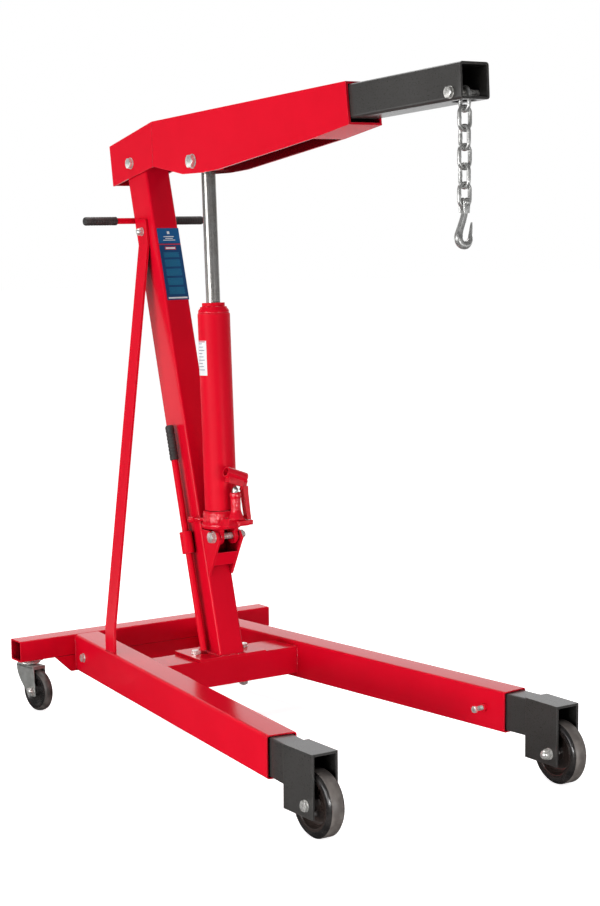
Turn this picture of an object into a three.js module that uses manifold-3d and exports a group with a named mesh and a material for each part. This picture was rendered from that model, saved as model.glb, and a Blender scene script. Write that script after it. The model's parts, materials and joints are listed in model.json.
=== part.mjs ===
// Workshop engine hoist with a fixed splayed frame, a leaning mast and a long-ram jack.
// Millimetres. +X is forward (the way the boom and legs point), +Z is up, the floor is z = 0.
// While the parts are made x = 0 is the front face of the rear beam; the whole machine is
// then moved so that the origin lies on the floor under the middle of its bounding box.
// "right" is the -Y side and "left" the +Y side.
import * as THREE from "three";
import { mergeVertices } from "three/addons/utils/BufferGeometryUtils.js";
import Module from "manifold-3d";

const wasm = await Module();
wasm.setup();

// ---------------------------------------------------------------- driving dimensions
const GAP = 0.3; // working gap between neighbouring parts

const LEG_TOP = 206; // height of the leg tops above the floor
const LEG_W = 80;
const LEG_H = 107;
const LEG_WALL = 4;
const LEG_LENGTH = 1262;
const LEG_HALF_SPACING = 250; // outer rear corner of a leg from the centre plane
const SPLAY = THREE.MathUtils.degToRad(6.77);

const REAR_DEPTH = 64;
const REAR_H = 61;
const REAR_HALF = 427;
const REAR_WALL = 4;
const SKIRT_THICK = 10;
const SKIRT_REACH = 66; // how far the skirt plate runs out under the rear beam
const SKIRT_FOOT = 15;

const CROSS_X0 = 339;
const CROSS_X1 = 457;
const CROSS_TOP = LEG_TOP - 15;
const CROSS_H = 79;
const CROSS_WALL = 5;

const EXT_W = 62; // sliding tube of the leg extension
const EXT_H = 97;
const EXT_WALL = 5;
const EXT_TAIL = 330; // length of tube hidden inside the leg
const HOUSING_START = 1335; // along the leg
const HOUSING_LENGTH = 119;
const HOUSING_W = 72;
const HOUSING_TOP = LEG_TOP - 1;
const HOUSING_BOTTOM = 51;
const HOUSING_PLATE = 6;

const WHEEL_R = 80;
const WHEEL_W = 46;
const TYRE_DEPTH = 17;
const WHEEL_X = 92; // forward of the housing's rear wall
const AXLE_R = 8;
const LOCK_ALONG = 1194;
const LOCK_Z = LEG_TOP - 51;
const LOCK_R = 6;

const CASTER_X = -37;
const CASTER_Y = 383;
const CASTER_TRAIL = 43;
const CASTER_TURN = THREE.MathUtils.degToRad(8.6); // the wheels stand turned a little inward
const CASTER_R = 60;
const CASTER_W = 28;

const LEAN = THREE.MathUtils.degToRad(15.62); // mast leans back
const MAST_FRONT_X = 466; // front face of the mast at leg-top height
const MAST_W = 79.5;
const MAST_DEPTH = 108;
const MAST_WALL = 5;
const FOOT_THICK = 8;

const PIVOT = { x: 24, z: 1571 }; // boom pivot
const RAM_TOP = { x: 370, z: 1568 }; // ram bolt in the boom
const RAM_TILT = Math.atan2(49, 1037); // ram leans back
const RAM_FOOT = { x: 419, z: 531 }; // ram axis at the height of its lower bolt
const LUG_OFFSET = 19; // lower bolt forward of the ram axis

const BOOM_W = 100;
const BOOM_PLATE = 6;
const TUBE_SIDE = 84; // square boom extension
const TUBE_WALL = 6;
const TUBE_TAIL_X = 680;
const TIP = { x: 1492, z: 1692 }; // bolt that carries the chain

const LINK_WIRE = 8.5;
const LINK_WIDTH = 36;
const LINK_LENGTH = 60.5;
const LINK_COUNT = 6;
const TIP_BOLT_R = 8;

// ---------------------------------------------------------------- materials
const paint = (color, roughness, metalness) =>
  new THREE.MeshStandardMaterial({ color, roughness, metalness });
const red = paint(0xd4042a, 0.3, 0.1);
const black = paint(0x2b2b2c, 0.45, 0.2);
const zinc = paint(0xb9bcc0, 0.35, 0.9);
const chrome = paint(0xd8dade, 0.12, 1.0);
const rubber = paint(0x4a4340, 0.8, 0.0);
const rim = paint(0x1b1c1e, 0.5, 0.2);
const grip = paint(0x232325, 0.7, 0.0);

const machine = new THREE.Group();
machine.name = "engine_hoist";

// Adds one finished piece under its name.
function add(name, geometry, material) {
  const mesh = new THREE.Mesh(geometry, material);
  mesh.name = name;
  machine.add(mesh);
}

// ---------------------------------------------------------------- solid helpers
function toSolid(geometry) {
  const bare = geometry.clone();
  bare.deleteAttribute("normal");
  bare.deleteAttribute("uv");
  const welded = mergeVertices(bare, 1e-4);
  return new wasm.Manifold(
    new wasm.Mesh({
      numProp: 3,
      vertProperties: new Float32Array(welded.attributes.position.array),
      triVerts: new Uint32Array(welded.index.array),
    }),
  );
}

function toGeometry(solid) {
  const mesh = solid.getMesh();
  const geometry = new THREE.BufferGeometry();
  geometry.setAttribute("position", new THREE.BufferAttribute(mesh.vertProperties, 3));
  geometry.setIndex(new THREE.BufferAttribute(mesh.triVerts, 1));
  geometry.computeVertexNormals();
  return geometry;
}

const join = (...parts) =>
  toGeometry(parts.map(toSolid).reduce((whole, part) => whole.add(part)));
const cut = (body, ...tools) =>
  toGeometry(tools.map(toSolid).reduce((whole, tool) => whole.subtract(tool), toSolid(body)));
const common = (a, b) => toGeometry(toSolid(a).intersect(toSolid(b)));

// Tightest convex solid round several pieces.
const hull = (...parts) => toGeometry(wasm.Manifold.hull(parts.map(toSolid)));

const mirrored = (geometry) => toGeometry(toSolid(geometry).mirror([0, 1, 0]));

// Adds a right-hand piece and its mirror image.
function addPair(name, geometry, material) {
  add(`${name}_right`, geometry, material);
  add(`${name}_left`, mirrored(geometry), material);
}

function block(x0, x1, y0, y1, z0, z1) {
  const box = new THREE.BoxGeometry(x1 - x0, y1 - y0, z1 - z0);
  return box.translate((x0 + x1) / 2, (y0 + y1) / 2, (z0 + z1) / 2);
}

function outline(points) {
  return new THREE.Shape(points.map(([u, v]) => new THREE.Vector2(u, v)));
}

function rounded(width, height, radius, segments = 3) {
  const points = [];
  const corners = [[1, 1, 0], [-1, 1, 90], [-1, -1, 180], [1, -1, 270]];
  for (const [sx, sy, start] of corners) {
    for (let i = 0; i <= segments; i++) {
      const a = THREE.MathUtils.degToRad(start + (90 * i) / segments);
      points.push([
        sx * (width / 2 - radius) + radius * Math.cos(a),
        sy * (height / 2 - radius) + radius * Math.sin(a),
      ]);
    }
  }
  return points;
}

// Outline in (x, y), pushed up from z0 to z1.
function slabZ(points, z0, z1) {
  const options = { depth: z1 - z0, bevelEnabled: false };
  return new THREE.ExtrudeGeometry(outline(points), options).translate(0, 0, z0);
}

// Outline in (x, z), pushed from y0 to y1.
function slabY(points, y0, y1) {
  return slabZ(points, 0, y1 - y0).rotateX(Math.PI / 2).translate(0, y1, 0);
}

// Outline in (y, z), pushed from x0 to x1.
function slabX(points, x0, x1) {
  const turn = new THREE.Matrix4().makeBasis(
    new THREE.Vector3(0, 1, 0),
    new THREE.Vector3(0, 0, 1),
    new THREE.Vector3(1, 0, 0),
  );
  return slabZ(points, 0, x1 - x0).applyMatrix4(turn).translate(x0, 0, 0);
}

// Round bar between two heights on the Z axis, then turned to another axis if asked.
function barZ(radius, z0, z1, sides = 20) {
  const bar = new THREE.CylinderGeometry(radius, radius, z1 - z0, sides);
  return bar.rotateX(Math.PI / 2).translate(0, 0, (z0 + z1) / 2);
}
const barY = (radius, y0, y1, sides = 20) => barZ(radius, y0, y1, sides).rotateX(-Math.PI / 2);
const barX = (radius, x0, x1, sides = 20) => barZ(radius, x0, x1, sides).rotateY(Math.PI / 2);
const hexY = (radius, y0, y1) => barZ(radius, y0, y1, 6).rotateX(-Math.PI / 2);

// Profile in (radius, height) turned about Z.
function turned(profile, sides = 32) {
  const points = profile.map(([r, h]) => new THREE.Vector2(r, h));
  return new THREE.LatheGeometry(points, sides).rotateX(Math.PI / 2);
}

// Bolt along Y: hexagon head on the right, plain shank, hexagon nut on the left.
function boltY(radius, y0, y1, headR, headH) {
  return join(
    hexY(headR, y0 - headH, y0),
    barY(radius, y0 - 1, y1 + headH + 5, 16),
    hexY(headR, y1, y1 + headH),
  );
}

// Round wire swept along points of a flat curve; side is the normal of the curve's plane.
function wire(points, radii, side, closed, sides = 8) {
  const positions = [];
  const index = [];
  const count = points.length;
  points.forEach((point, i) => {
    const before = points[closed ? (i + count - 1) % count : Math.max(i - 1, 0)];
    const after = points[closed ? (i + 1) % count : Math.min(i + 1, count - 1)];
    const along = after.clone().sub(before).normalize();
    const across = new THREE.Vector3().crossVectors(along, side);
    for (let k = 0; k < sides; k++) {
      const a = (2 * Math.PI * k) / sides;
      const spot = point.clone();
      spot.addScaledVector(across, radii[i] * Math.cos(a));
      spot.addScaledVector(side, radii[i] * Math.sin(a));
      positions.push(spot.x, spot.y, spot.z);
    }
  });
  const rings = closed ? count : count - 1;
  for (let i = 0; i < rings; i++) {
    const next = (i + 1) % count;
    for (let k = 0; k < sides; k++) {
      const m = (k + 1) % sides;
      index.push(i * sides + k, next * sides + m, i * sides + m);
      index.push(i * sides + k, next * sides + k, next * sides + m);
    }
  }
  if (!closed) {
    const last = (count - 1) * sides;
    for (let k = 1; k < sides - 1; k++) {
      index.push(0, k, k + 1);
      index.push(last, last + k + 1, last + k);
    }
  }
  const geometry = new THREE.BufferGeometry();
  geometry.setAttribute("position", new THREE.Float32BufferAttribute(positions, 3));
  geometry.setIndex(index);
  geometry.computeVertexNormals();
  return geometry;
}

// ---------------------------------------------------------------- rear beam and casters
function rearBeam() {
  const middleX = -REAR_DEPTH / 2;
  const middleZ = LEG_TOP - REAR_H / 2;
  const tube = slabX(rounded(REAR_H, REAR_DEPTH, 5), -REAR_HALF, REAR_HALF);
  const bore = slabX(
    rounded(REAR_H - 2 * REAR_WALL, REAR_DEPTH - 2 * REAR_WALL, 3),
    -REAR_HALF - 1,
    REAR_HALF + 1,
  );
  const placed = cut(tube, bore)
    .rotateX(Math.PI / 2)
    .rotateZ(Math.PI / 2)
    .translate(middleX, 0, middleZ);
  const under = LEG_TOP - REAR_H + 1;
  const low = LEG_TOP - LEG_H - 1;
  const wide = LEG_HALF_SPACING + SKIRT_REACH;
  const narrow = LEG_HALF_SPACING + SKIRT_FOOT;
  const skirt = slabX([[-narrow, low], [narrow, low], [wide, under], [-wide, under]], -SKIRT_THICK, 0);
  return join(placed, skirt);
}

function caster() {
  const top = LEG_TOP - REAR_H - GAP;
  const plate = join(
    block(-27, 27, -34, 34, top - 4, top),
    barZ(32, top - 13, top - 3, 28),
  );
  const forkTop = top - 13 - GAP;
  const front = CASTER_TRAIL + 7;
  const side = [
    [-34, forkTop],
    [-35, forkTop - 16],
    [-29, forkTop - 38],
    [-8, forkTop - 62],
    [CASTER_TRAIL - 28, CASTER_R - 2],
    [CASTER_TRAIL - 14, CASTER_R - 13],
    [CASTER_TRAIL + 8, CASTER_R - 13],
    [front + 6, CASTER_R],
    [front, forkTop],
  ];
  const inner = CASTER_W / 2 + 3;
  const fork = cut(
    join(
      slabY(side, -inner - 4, -inner),
      slabY(side, inner, inner + 4),
      block(-34, front, -inner - 4, inner + 4, forkTop - 4, forkTop),
    ),
    barY(6.3, -40, 40).translate(CASTER_TRAIL, 0, CASTER_R),
  );
  const axle = boltY(6, -inner - 4 - GAP, inner + 4 + GAP, 10, 7);
  const half = CASTER_W / 2;
  const wheel = turned([
    [6.3, -half],
    [16, -half],
    [17, -half + 7],
    [37, -half + 7],
    [38, -half],
    [52, -half],
    [CASTER_R, -half + 8],
    [CASTER_R, half - 8],
    [52, half],
    [38, half],
    [37, half - 7],
    [17, half - 7],
    [16, half],
    [6.3, half],
    [6.3, -half],
  ], 20).rotateX(Math.PI / 2);
  const place = (g) => g.translate(CASTER_X, -CASTER_Y, 0);
  const swivel = (g, trail, z) => place(g.translate(trail, 0, z).rotateZ(CASTER_TURN));
  addPair("caster_plate", place(plate), zinc);
  addPair("caster_fork", swivel(fork, 0, 0), zinc);
  addPair("caster_axle", swivel(axle, CASTER_TRAIL, CASTER_R), zinc);
  addPair("caster_wheel", swivel(wheel, CASTER_TRAIL, CASTER_R), rubber);
}

// ---------------------------------------------------------------- legs
// Moves a piece from leg measures (along the leg, inward from its outer face, up) to the
// right leg; the left leg is its mirror image.
const onLeg = (g) => g.rotateZ(-SPLAY).translate(0, -LEG_HALF_SPACING, 0);

// Straight rectangular tube lying along X, its section centred on (y, z).
function tubeX(x0, x1, width, height, wall, radius) {
  const outer = slabX(rounded(width, height, radius), x0, x1);
  const inside = rounded(width - 2 * wall, height - 2 * wall, Math.max(radius - wall, 1.5));
  return cut(outer, slabX(inside, x0 - 1, x1 + 1));
}

function leg() {
  const tube = tubeX(-20, LEG_LENGTH, LEG_W, LEG_H, LEG_WALL, 7);
  tube.translate(0, LEG_W / 2, LEG_TOP - LEG_H / 2);
  const lockHole = barY(LOCK_R + GAP, LEG_W - 10, LEG_W + 10, 16)
    .translate(LOCK_ALONG, 0, LOCK_Z);
  const behind = block(-60, GAP, -420, 420, 0, 400);
  return cut(onLeg(cut(tube, lockHole)), behind);
}

// Middle of the housing's rear wall. The housing stands square to the machine, not to its
// leg, so that both front wheels roll straight.
const WHEEL_END = {
  x: HOUSING_START * Math.cos(SPLAY) + (LEG_W / 2) * Math.sin(SPLAY),
  y: (LEG_W / 2) * Math.cos(SPLAY) - HOUSING_START * Math.sin(SPLAY) - LEG_HALF_SPACING,
};
const onWheelEnd = (g) => g.translate(WHEEL_END.x, WHEEL_END.y, 0);

function legExtension() {
  const tube = tubeX(LEG_LENGTH - EXT_TAIL, HOUSING_START + 12, EXT_W, EXT_H, EXT_WALL, 4);
  tube.translate(0, LEG_W / 2, LEG_TOP - LEG_H / 2);
  const ahead = onWheelEnd(block(HOUSING_PLATE / 2, 60, -60, 60, 0, 300));
  const half = HOUSING_W / 2;
  const inside = half - HOUSING_PLATE;
  const shell = cut(
    block(0, HOUSING_LENGTH, -half, half, HOUSING_BOTTOM, HOUSING_TOP),
    block(
      HOUSING_PLATE,
      HOUSING_LENGTH + 1,
      -inside,
      inside,
      HOUSING_BOTTOM - 1,
      HOUSING_TOP - HOUSING_PLATE,
    ),
    block(-1, HOUSING_PLATE + 1, -inside, inside, HOUSING_BOTTOM - 1, LEG_TOP - LEG_H + 4),
    barY(AXLE_R + GAP, -half - 5, half + 5, 16).translate(WHEEL_X, 0, WHEEL_R),
  );
  return join(cut(onLeg(tube), ahead), onWheelEnd(shell));
}

function frontWheel() {
  const half = WHEEL_W / 2 - 1.5;
  const edge = WHEEL_R - TYRE_DEPTH - GAP;
  const bore = AXLE_R + GAP;
  const profile = [
    [bore, -half],
    [20, -half],
    [22, -4],
    [edge - 10, -4],
    [edge - 6, -half],
    [edge, -half],
    [edge, half],
    [edge - 6, half],
    [edge - 10, 4],
    [22, 4],
    [20, half],
    [bore, half],
    [bore, -half],
  ];
  return turned(profile, 28).rotateX(Math.PI / 2);
}

function frontTyre() {
  const half = WHEEL_W / 2;
  const seat = WHEEL_R - TYRE_DEPTH;
  const profile = [
    [seat, -half],
    [WHEEL_R - 3, -half],
    [WHEEL_R, -half + 4],
    [WHEEL_R, half - 4],
    [WHEEL_R - 3, half],
    [seat, half],
    [seat, -half],
  ];
  return turned(profile, 28).rotateX(Math.PI / 2);
}

// Screw through the inner face of the leg, its tip just short of the sliding tube.
function lockScrew() {
  const tip = GAP - (LEG_W - EXT_W) / 2;
  const screw = join(
    barY(LOCK_R, tip, 40, 16),
    hexY(10.5, GAP, 10),
    hexY(9.5, 34, 42),
  );
  return onLeg(screw.translate(LOCK_ALONG, LEG_W, LOCK_Z));
}

function legsAndWheels() {
  const place = (g) => onWheelEnd(g.translate(WHEEL_X, 0, WHEEL_R));
  const reach = HOUSING_W / 2 + GAP;
  addPair("leg", leg(), red);
  addPair("leg_extension", legExtension(), black);
  addPair("front_wheel", place(frontWheel()), rim);
  addPair("front_tyre", place(frontTyre()), rubber);
  addPair("front_axle", place(boltY(AXLE_R, -reach, reach, 14, 10)), zinc);
  addPair("leg_lock_screw", lockScrew(), zinc);
}

function crossBeam() {
  const z0 = CROSS_TOP - CROSS_H;
  const inward = (x) => LEG_HALF_SPACING + x * Math.tan(SPLAY) - LEG_W / Math.cos(SPLAY) - GAP;
  const a = inward(CROSS_X0);
  const b = inward(CROSS_X1);
  const footprint = [[CROSS_X0, -a], [CROSS_X1, -b], [CROSS_X1, b], [CROSS_X0, a]];
  const middle = (CROSS_X0 + CROSS_X1) / 2;
  const width = CROSS_X1 - CROSS_X0;
  const ring = slabY(rounded(width, CROSS_H, 5), -300, 300);
  const inside = rounded(width - 2 * CROSS_WALL, CROSS_H - 2 * CROSS_WALL, 2);
  const tube = cut(ring, slabY(inside, -301, 301)).translate(middle, 0, z0 + CROSS_H / 2);
  const bolts = [-1, 1].map((s) =>
    barZ(8 + GAP, z0 - 5, CROSS_TOP + 5, 16).translate(FOOT_BOLT_X, s * FOOT_BOLT_Y, 0));
  return cut(common(tube, slabZ(footprint, z0 - 1, CROSS_TOP + 1)), ...bolts);
}

// ---------------------------------------------------------------- mast
const FOOT_BOLT_X = 398;
const FOOT_BOLT_Y = 79;
const FOOT_TOP = CROSS_TOP + GAP + FOOT_THICK;
const mastFrontX = (z) => MAST_FRONT_X - Math.tan(LEAN) * (z - LEG_TOP);
const MAST_DEPTH_X = MAST_DEPTH / Math.cos(LEAN); // depth measured level
const mastMiddleX = (z) => mastFrontX(z) - MAST_DEPTH_X / 2;

function mast() {
  const tube = tubeX(-100, 1500, MAST_W, MAST_DEPTH, MAST_WALL, 7);
  tube.rotateY(-Math.PI / 2 - LEAN).translate(mastMiddleX(LEG_TOP), 0, LEG_TOP);
  const top = PIVOT.z + 36;
  const kept = common(tube, block(-400, 700, -100, 100, FOOT_TOP - 1, top));
  const foot = block(332, 472, -108, 108, CROSS_TOP + GAP, FOOT_TOP);
  const holes = [-1, 1].map((s) =>
    barZ(8 + GAP, CROSS_TOP - 5, FOOT_TOP + 5, 16).translate(FOOT_BOLT_X, s * FOOT_BOLT_Y, 0));
  const pivotHole = barY(9 + GAP, -60, 60, 20).translate(PIVOT.x, 0, PIVOT.z);
  const braceHole = barY(6 + GAP, -60, 60, 16).translate(BRACE_TOP.x, 0, BRACE_TOP.z);
  return cut(join(kept, foot), pivotHole, braceHole, ...holes);
}

function footBolt() {
  const low = CROSS_TOP - CROSS_H;
  const bolt = join(
    barZ(12, FOOT_TOP + GAP, FOOT_TOP + 10, 6),
    barZ(8, low - 14, FOOT_TOP + 1, 16),
    barZ(12, low - 11, low - GAP, 6),
  );
  return bolt.translate(FOOT_BOLT_X, -FOOT_BOLT_Y, 0);
}

// ---------------------------------------------------------------- brace
const BRACE_TOP = { x: 79, z: 1375 };
const BRACE_W = 50;
const BRACE_THICK = 8;
const BRACE_FOOT = { x: 270, y: 277, z: LEG_TOP + GAP };

// Flat bar in three straight runs: pad on the mast, long slope, short upright on the leg.
function brace() {
  const inner = MAST_W / 2 + GAP;
  const centre = [
    [inner, BRACE_TOP.z + 36],
    [inner, BRACE_TOP.z - 32],
    [BRACE_FOOT.y - BRACE_THICK, BRACE_FOOT.z + 62],
    [BRACE_FOOT.y - BRACE_THICK, BRACE_FOOT.z],
  ];
  const outer = centre.map(([y, z]) => [y + BRACE_THICK, z]).reverse();
  const section = [...centre, ...outer].map(([y, z]) => [-y, z]);
  const sheet = slabX(section, -200, 500);
  const half = BRACE_W / 2;
  const lean = (BRACE_FOOT.x - BRACE_TOP.x) / (BRACE_TOP.z - BRACE_FOOT.z);
  const xAt = (z) => BRACE_TOP.x + lean * (BRACE_TOP.z - z);
  const high = BRACE_TOP.z + 36;
  const low = BRACE_FOOT.z;
  const bend = low + 62;
  const side = [
    [xAt(high) - half, high + 1],
    [xAt(bend) - half, bend],
    [xAt(bend) - half, low - 1],
    [xAt(bend) + half, low - 1],
    [xAt(bend) + half, bend],
    [xAt(high) + half, high + 1],
  ].reverse();
  const hole = barY(6 + GAP, -80, -20, 16).translate(BRACE_TOP.x, 0, BRACE_TOP.z);
  return cut(common(sheet, slabY(side, -400, 0)), hole);
}

// The bolt's domed nut is on the brace, its hexagon head on the far side of the mast.
function braceBolt() {
  const near = MAST_W / 2 + BRACE_THICK + 2 * GAP;
  const dome = turned([[0, 0], [9, 0], [9, 4], [6.5, 9], [2, 11], [0, 11]], 16);
  const bolt = join(
    boltY(6, -near, MAST_W / 2 + GAP, 11, 8),
    dome.rotateX(Math.PI / 2).translate(0, -near - 7.5, 0),
  );
  return bolt.translate(BRACE_TOP.x, 0, BRACE_TOP.z);
}

// ---------------------------------------------------------------- push handle, stored pump handle
const PUSH_Z = 1406;
const PUSH_R = 8.8;
const PUSH_HALF = 198;
const GRIP_LENGTH = 105;

function pushHandle() {
  const x = mastFrontX(PUSH_Z) - MAST_DEPTH_X - PUSH_R / Math.cos(LEAN) - GAP;
  const bar = barY(PUSH_R, -PUSH_HALF + 4, PUSH_HALF - 4, 16).translate(x, 0, PUSH_Z);
  add("push_handle", bar, red);
  const bore = PUSH_R + GAP;
  const sleeve = turned([
    [0, -PUSH_HALF],
    [10, -PUSH_HALF],
    [12.3, -PUSH_HALF + 3],
    [12.3, -PUSH_HALF + GRIP_LENGTH],
    [bore, -PUSH_HALF + GRIP_LENGTH],
    [bore, -PUSH_HALF + 4 - GAP],
    [0, -PUSH_HALF + 4 - GAP],
  ], 16).rotateX(-Math.PI / 2);
  addPair("push_grip", sleeve.translate(x, 0, PUSH_Z), grip);
}

const STORE_Y = -59; // stored pump handle runs beside the mast
const STORE_R = 9.5;
const SLEEVE_R = 18;
const SLEEVE_Z = 504;
const SLEEVE_LENGTH = 62;
const STORE_LOW = FOOT_TOP + 9;
const STORE_TOP = 829;

// Stands a piece made along Z parallel to the mast, beside its middle line.
function besideMast(geometry, z) {
  return geometry.rotateY(-LEAN).translate(mastMiddleX(z), STORE_Y, z);
}

function storedHandle() {
  const ring = cut(
    barZ(SLEEVE_R, -SLEEVE_LENGTH / 2, SLEEVE_LENGTH / 2, 20),
    barZ(STORE_R + 1, -SLEEVE_LENGTH, SLEEVE_LENGTH, 16),
  );
  add("handle_sleeve", besideMast(ring, SLEEVE_Z), red);
  const length = (STORE_TOP - STORE_LOW) / Math.cos(LEAN);
  add("pump_handle", besideMast(barZ(STORE_R, 0, length - 4, 16), STORE_LOW), red);
  const cap = turned([
    [0, length - 4 + GAP],
    [STORE_R + GAP, length - 4 + GAP],
    [STORE_R + GAP, length - 100],
    [12.5, length - 100],
    [12.5, length - 3],
    [10, length],
    [0, length],
  ], 16);
  add("pump_handle_grip", besideMast(cap, STORE_LOW), grip);
}

// ---------------------------------------------------------------- ram bracket on the mast
const BRACKET_TOP = 547;
const BRACKET_FOOT = 417;
const BRACKET_NOSE = [468, 526];
const BRACKET_HEEL = [412, 419]; // the front edge slopes from nose to heel
const BRACKET_THICK = 7;
const BRACKET_INSIDE = MAST_W / 2 - BRACKET_THICK; // the side plates are flush with the mast
const LUG = {
  x: RAM_FOOT.x + LUG_OFFSET * Math.cos(RAM_TILT),
  z: RAM_FOOT.z + LUG_OFFSET * Math.sin(RAM_TILT),
};
const LOWER_BOLT_R = 9;

function ramBracket() {
  const onMast = (z) => [mastFrontX(z) + GAP, z];
  const side = [
    onMast(BRACKET_TOP),
    onMast(BRACKET_FOOT),
    BRACKET_HEEL,
    BRACKET_NOSE,
    [454, BRACKET_TOP],
  ];
  const plate = slabY(side, -MAST_W / 2, -BRACKET_INSIDE);
  return cut(plate, barY(LOWER_BOLT_R + GAP, -80, 80).translate(LUG.x, 0, LUG.z));
}

function bracketCrossPlate() {
  const at = (t) => BRACKET_NOSE.map((value, i) => value + (BRACKET_HEEL[i] - value) * t);
  const [a, b] = [at(0.36), at(0.72)];
  const side = [[a[0] - 1, a[1]], [a[0] - 8, a[1]], [b[0] - 8, b[1]], [b[0] - 1, b[1]]];
  const half = BRACKET_INSIDE - GAP;
  return slabY(side, -half, half);
}

function ramLowerBolt() {
  const reach = MAST_W / 2 + GAP;
  const bolt = join(
    boltY(LOWER_BOLT_R, -reach, reach, 15.5, 13),
    barY(LOWER_BOLT_R, reach + 12, reach + 22, 16),
  );
  return bolt.translate(LUG.x, 0, LUG.z);
}

// ---------------------------------------------------------------- long-ram jack
// Ram pieces are made upright with height 0 level with the lower bolt, then leaned back.
const inRam = (g) => g.rotateY(-RAM_TILT).translate(RAM_FOOT.x, 0, RAM_FOOT.z);
const BARREL_R = 45.5;
const BARREL_LOW = 74;
const BARREL_TOP = 628;
const GLAND_TOP = 650;
const ROD_R = 20;
const ROD_LOW = 272;
const RAM_LENGTH = Math.hypot(RAM_TOP.x - RAM_FOOT.x, RAM_TOP.z - RAM_FOOT.z);
const TOP_BOLT_R = 12;
const ROD_TOP = RAM_LENGTH - TOP_BOLT_R - 3; // the open pivot: the rod stops short of its bolt
const PUMP_X = 78;
const PUMP_TOP = 128;
const PUMP_FOOT_LOW = 34;
const PUMP_FOOT_TOP = 48;

// Flared casting: a round foot and a square pump foot drawn up to the barrel and the pump.
function ramBase() {
  const foot = common(barZ(54, 22, 28, 28), block(-43, 60, -60, 60, 20, 30));
  const flare = hull(
    foot,
    barZ(49.5, 58, BARREL_LOW - GAP, 32),
    barZ(18, 58, 72, 20).translate(PUMP_X, 0, 0),
    block(PUMP_X - 20, PUMP_X + 12, -34, 34, PUMP_FOOT_LOW, PUMP_FOOT_LOW + 2),
  );
  const lugSide = [
    [LUG_OFFSET - 23, 24],
    [LUG_OFFSET - 23, -4],
    [LUG_OFFSET - 14, -19],
    [LUG_OFFSET, -23],
    [LUG_OFFSET + 14, -19],
    [LUG_OFFSET + 23, -4],
    [LUG_OFFSET + 23, 24],
  ];
  const { y0, y1 } = LINK_FOOT;
  return cut(
    join(
      flare,
      block(PUMP_X - 20, PUMP_X + 16, 0, 46, PUMP_FOOT_LOW, PUMP_FOOT_TOP),
      barZ(14, 60, PUMP_TOP, 20).translate(PUMP_X, 0, 0),
      slabY(lugSide, -29, -17),
      slabY(lugSide, 17, 29),
    ),
    block(PUMP_X - 13, PUMP_X + 13, y0 - 2, y1 + 20, PUMP_FOOT_TOP, 90),
    barY(LOWER_BOLT_R + GAP, -60, 60).translate(LUG_OFFSET, 0, 0),
    barZ(PISTON_R + GAP, 56, PUMP_TOP + 5, 16).translate(PUMP_X, 0, 0),
    barX(5, -80, -44, 12).rotateZ(VALVE_TURN).translate(0, 0, VALVE_Z),
  );
}

function ramBarrel() {
  return turned([
    [BARREL_R, BARREL_LOW],
    [BARREL_R, BARREL_TOP - 9],
    [BARREL_R - 7, BARREL_TOP],
    [32, BARREL_TOP],
    [32, GLAND_TOP],
    [ROD_R + GAP, GLAND_TOP],
    [ROD_R + GAP, BARREL_TOP - 30],
    [BARREL_R - 8, BARREL_TOP - 30],
    [BARREL_R - 8, BARREL_LOW],
    [BARREL_R, BARREL_LOW],
  ], 28);
}

const ramRod = () => turned([
  [0, ROD_LOW],
  [ROD_R, ROD_LOW],
  [ROD_R, ROD_TOP - 3],
  [ROD_R - 3, ROD_TOP],
  [0, ROD_TOP],
], 20);

// Two cheeks hang on the top bolt and stand either side of the rod.
function ramYoke() {
  const cheek = [
    [-15, 14], [-22, 2], [-18, -14], [-12, -24], [12, -24], [18, -14], [22, 2], [15, 14],
  ];
  const y0 = ROD_R + 1.5;
  const y1 = BOOM_W / 2 - BOOM_PLATE - 1;
  const body = join(
    slabY(cheek, -y1, -y0),
    slabY(cheek, y0, y1),
    block(-15, 15, -y1, y1, TOP_BOLT_R + 5, TOP_BOLT_R + 11).translate(0, 0, -4),
  );
  const bored = cut(body, barY(TOP_BOLT_R + GAP, -60, 60));
  return bored.rotateY(-RAM_TILT).translate(RAM_TOP.x, 0, RAM_TOP.z);
}

const PISTON_R = 9;
const PISTON_TOP = PUMP_TOP + 15;
const SOCKET_TILT = THREE.MathUtils.degToRad(20);
const SOCKET_Y = 3;
const SOCKET_Z = 175;
const SOCKET_R = 15;
const SOCKET_BORE = 11.5;
const LINK_PIN = { y: 29, z: 136 };
const LINK_FOOT = { y0: 31, y1: 43 };

// Tube for the pump handle with a seat over the piston and a tongue between the link straps.
function handleSocket() {
  const body = join(
    barY(SOCKET_R, -33, 33, 24),
    block(-11, 11, -22, 27, -27, -5),
    block(-5.5, 5.5, 27, 41, -36, -5),
  );
  const socket = cut(body, barY(SOCKET_BORE, -40, 20, 20));
  return socket.rotateX(-SOCKET_TILT).translate(PUMP_X, SOCKET_Y, SOCKET_Z);
}

function pumpPiston() {
  return turned([
    [0, 66],
    [PISTON_R, 66],
    [PISTON_R, PISTON_TOP - 8],
    [4, PISTON_TOP],
    [0, PISTON_TOP],
  ], 16).translate(PUMP_X, 0, 0);
}

function pumpLink() {
  const { y, z } = LINK_PIN;
  const { y0, y1 } = LINK_FOOT;
  const low = PUMP_FOOT_TOP + GAP;
  const strap = [
    [y - 7, z + 6], [y - 7, z - 14], [y0, low], [y1, low], [y + 8, z - 14], [y + 8, z + 6],
  ];
  const base = block(-10, 10, y0 + 0.5, y1 - 0.5, low, low + 12);
  return join(slabX(strap, -10, -6.5), slabX(strap, 6.5, 10), base).translate(PUMP_X, 0, 0);
}

const VALVE_Z = 46;
const VALVE_TURN = THREE.MathUtils.degToRad(47);

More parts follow.
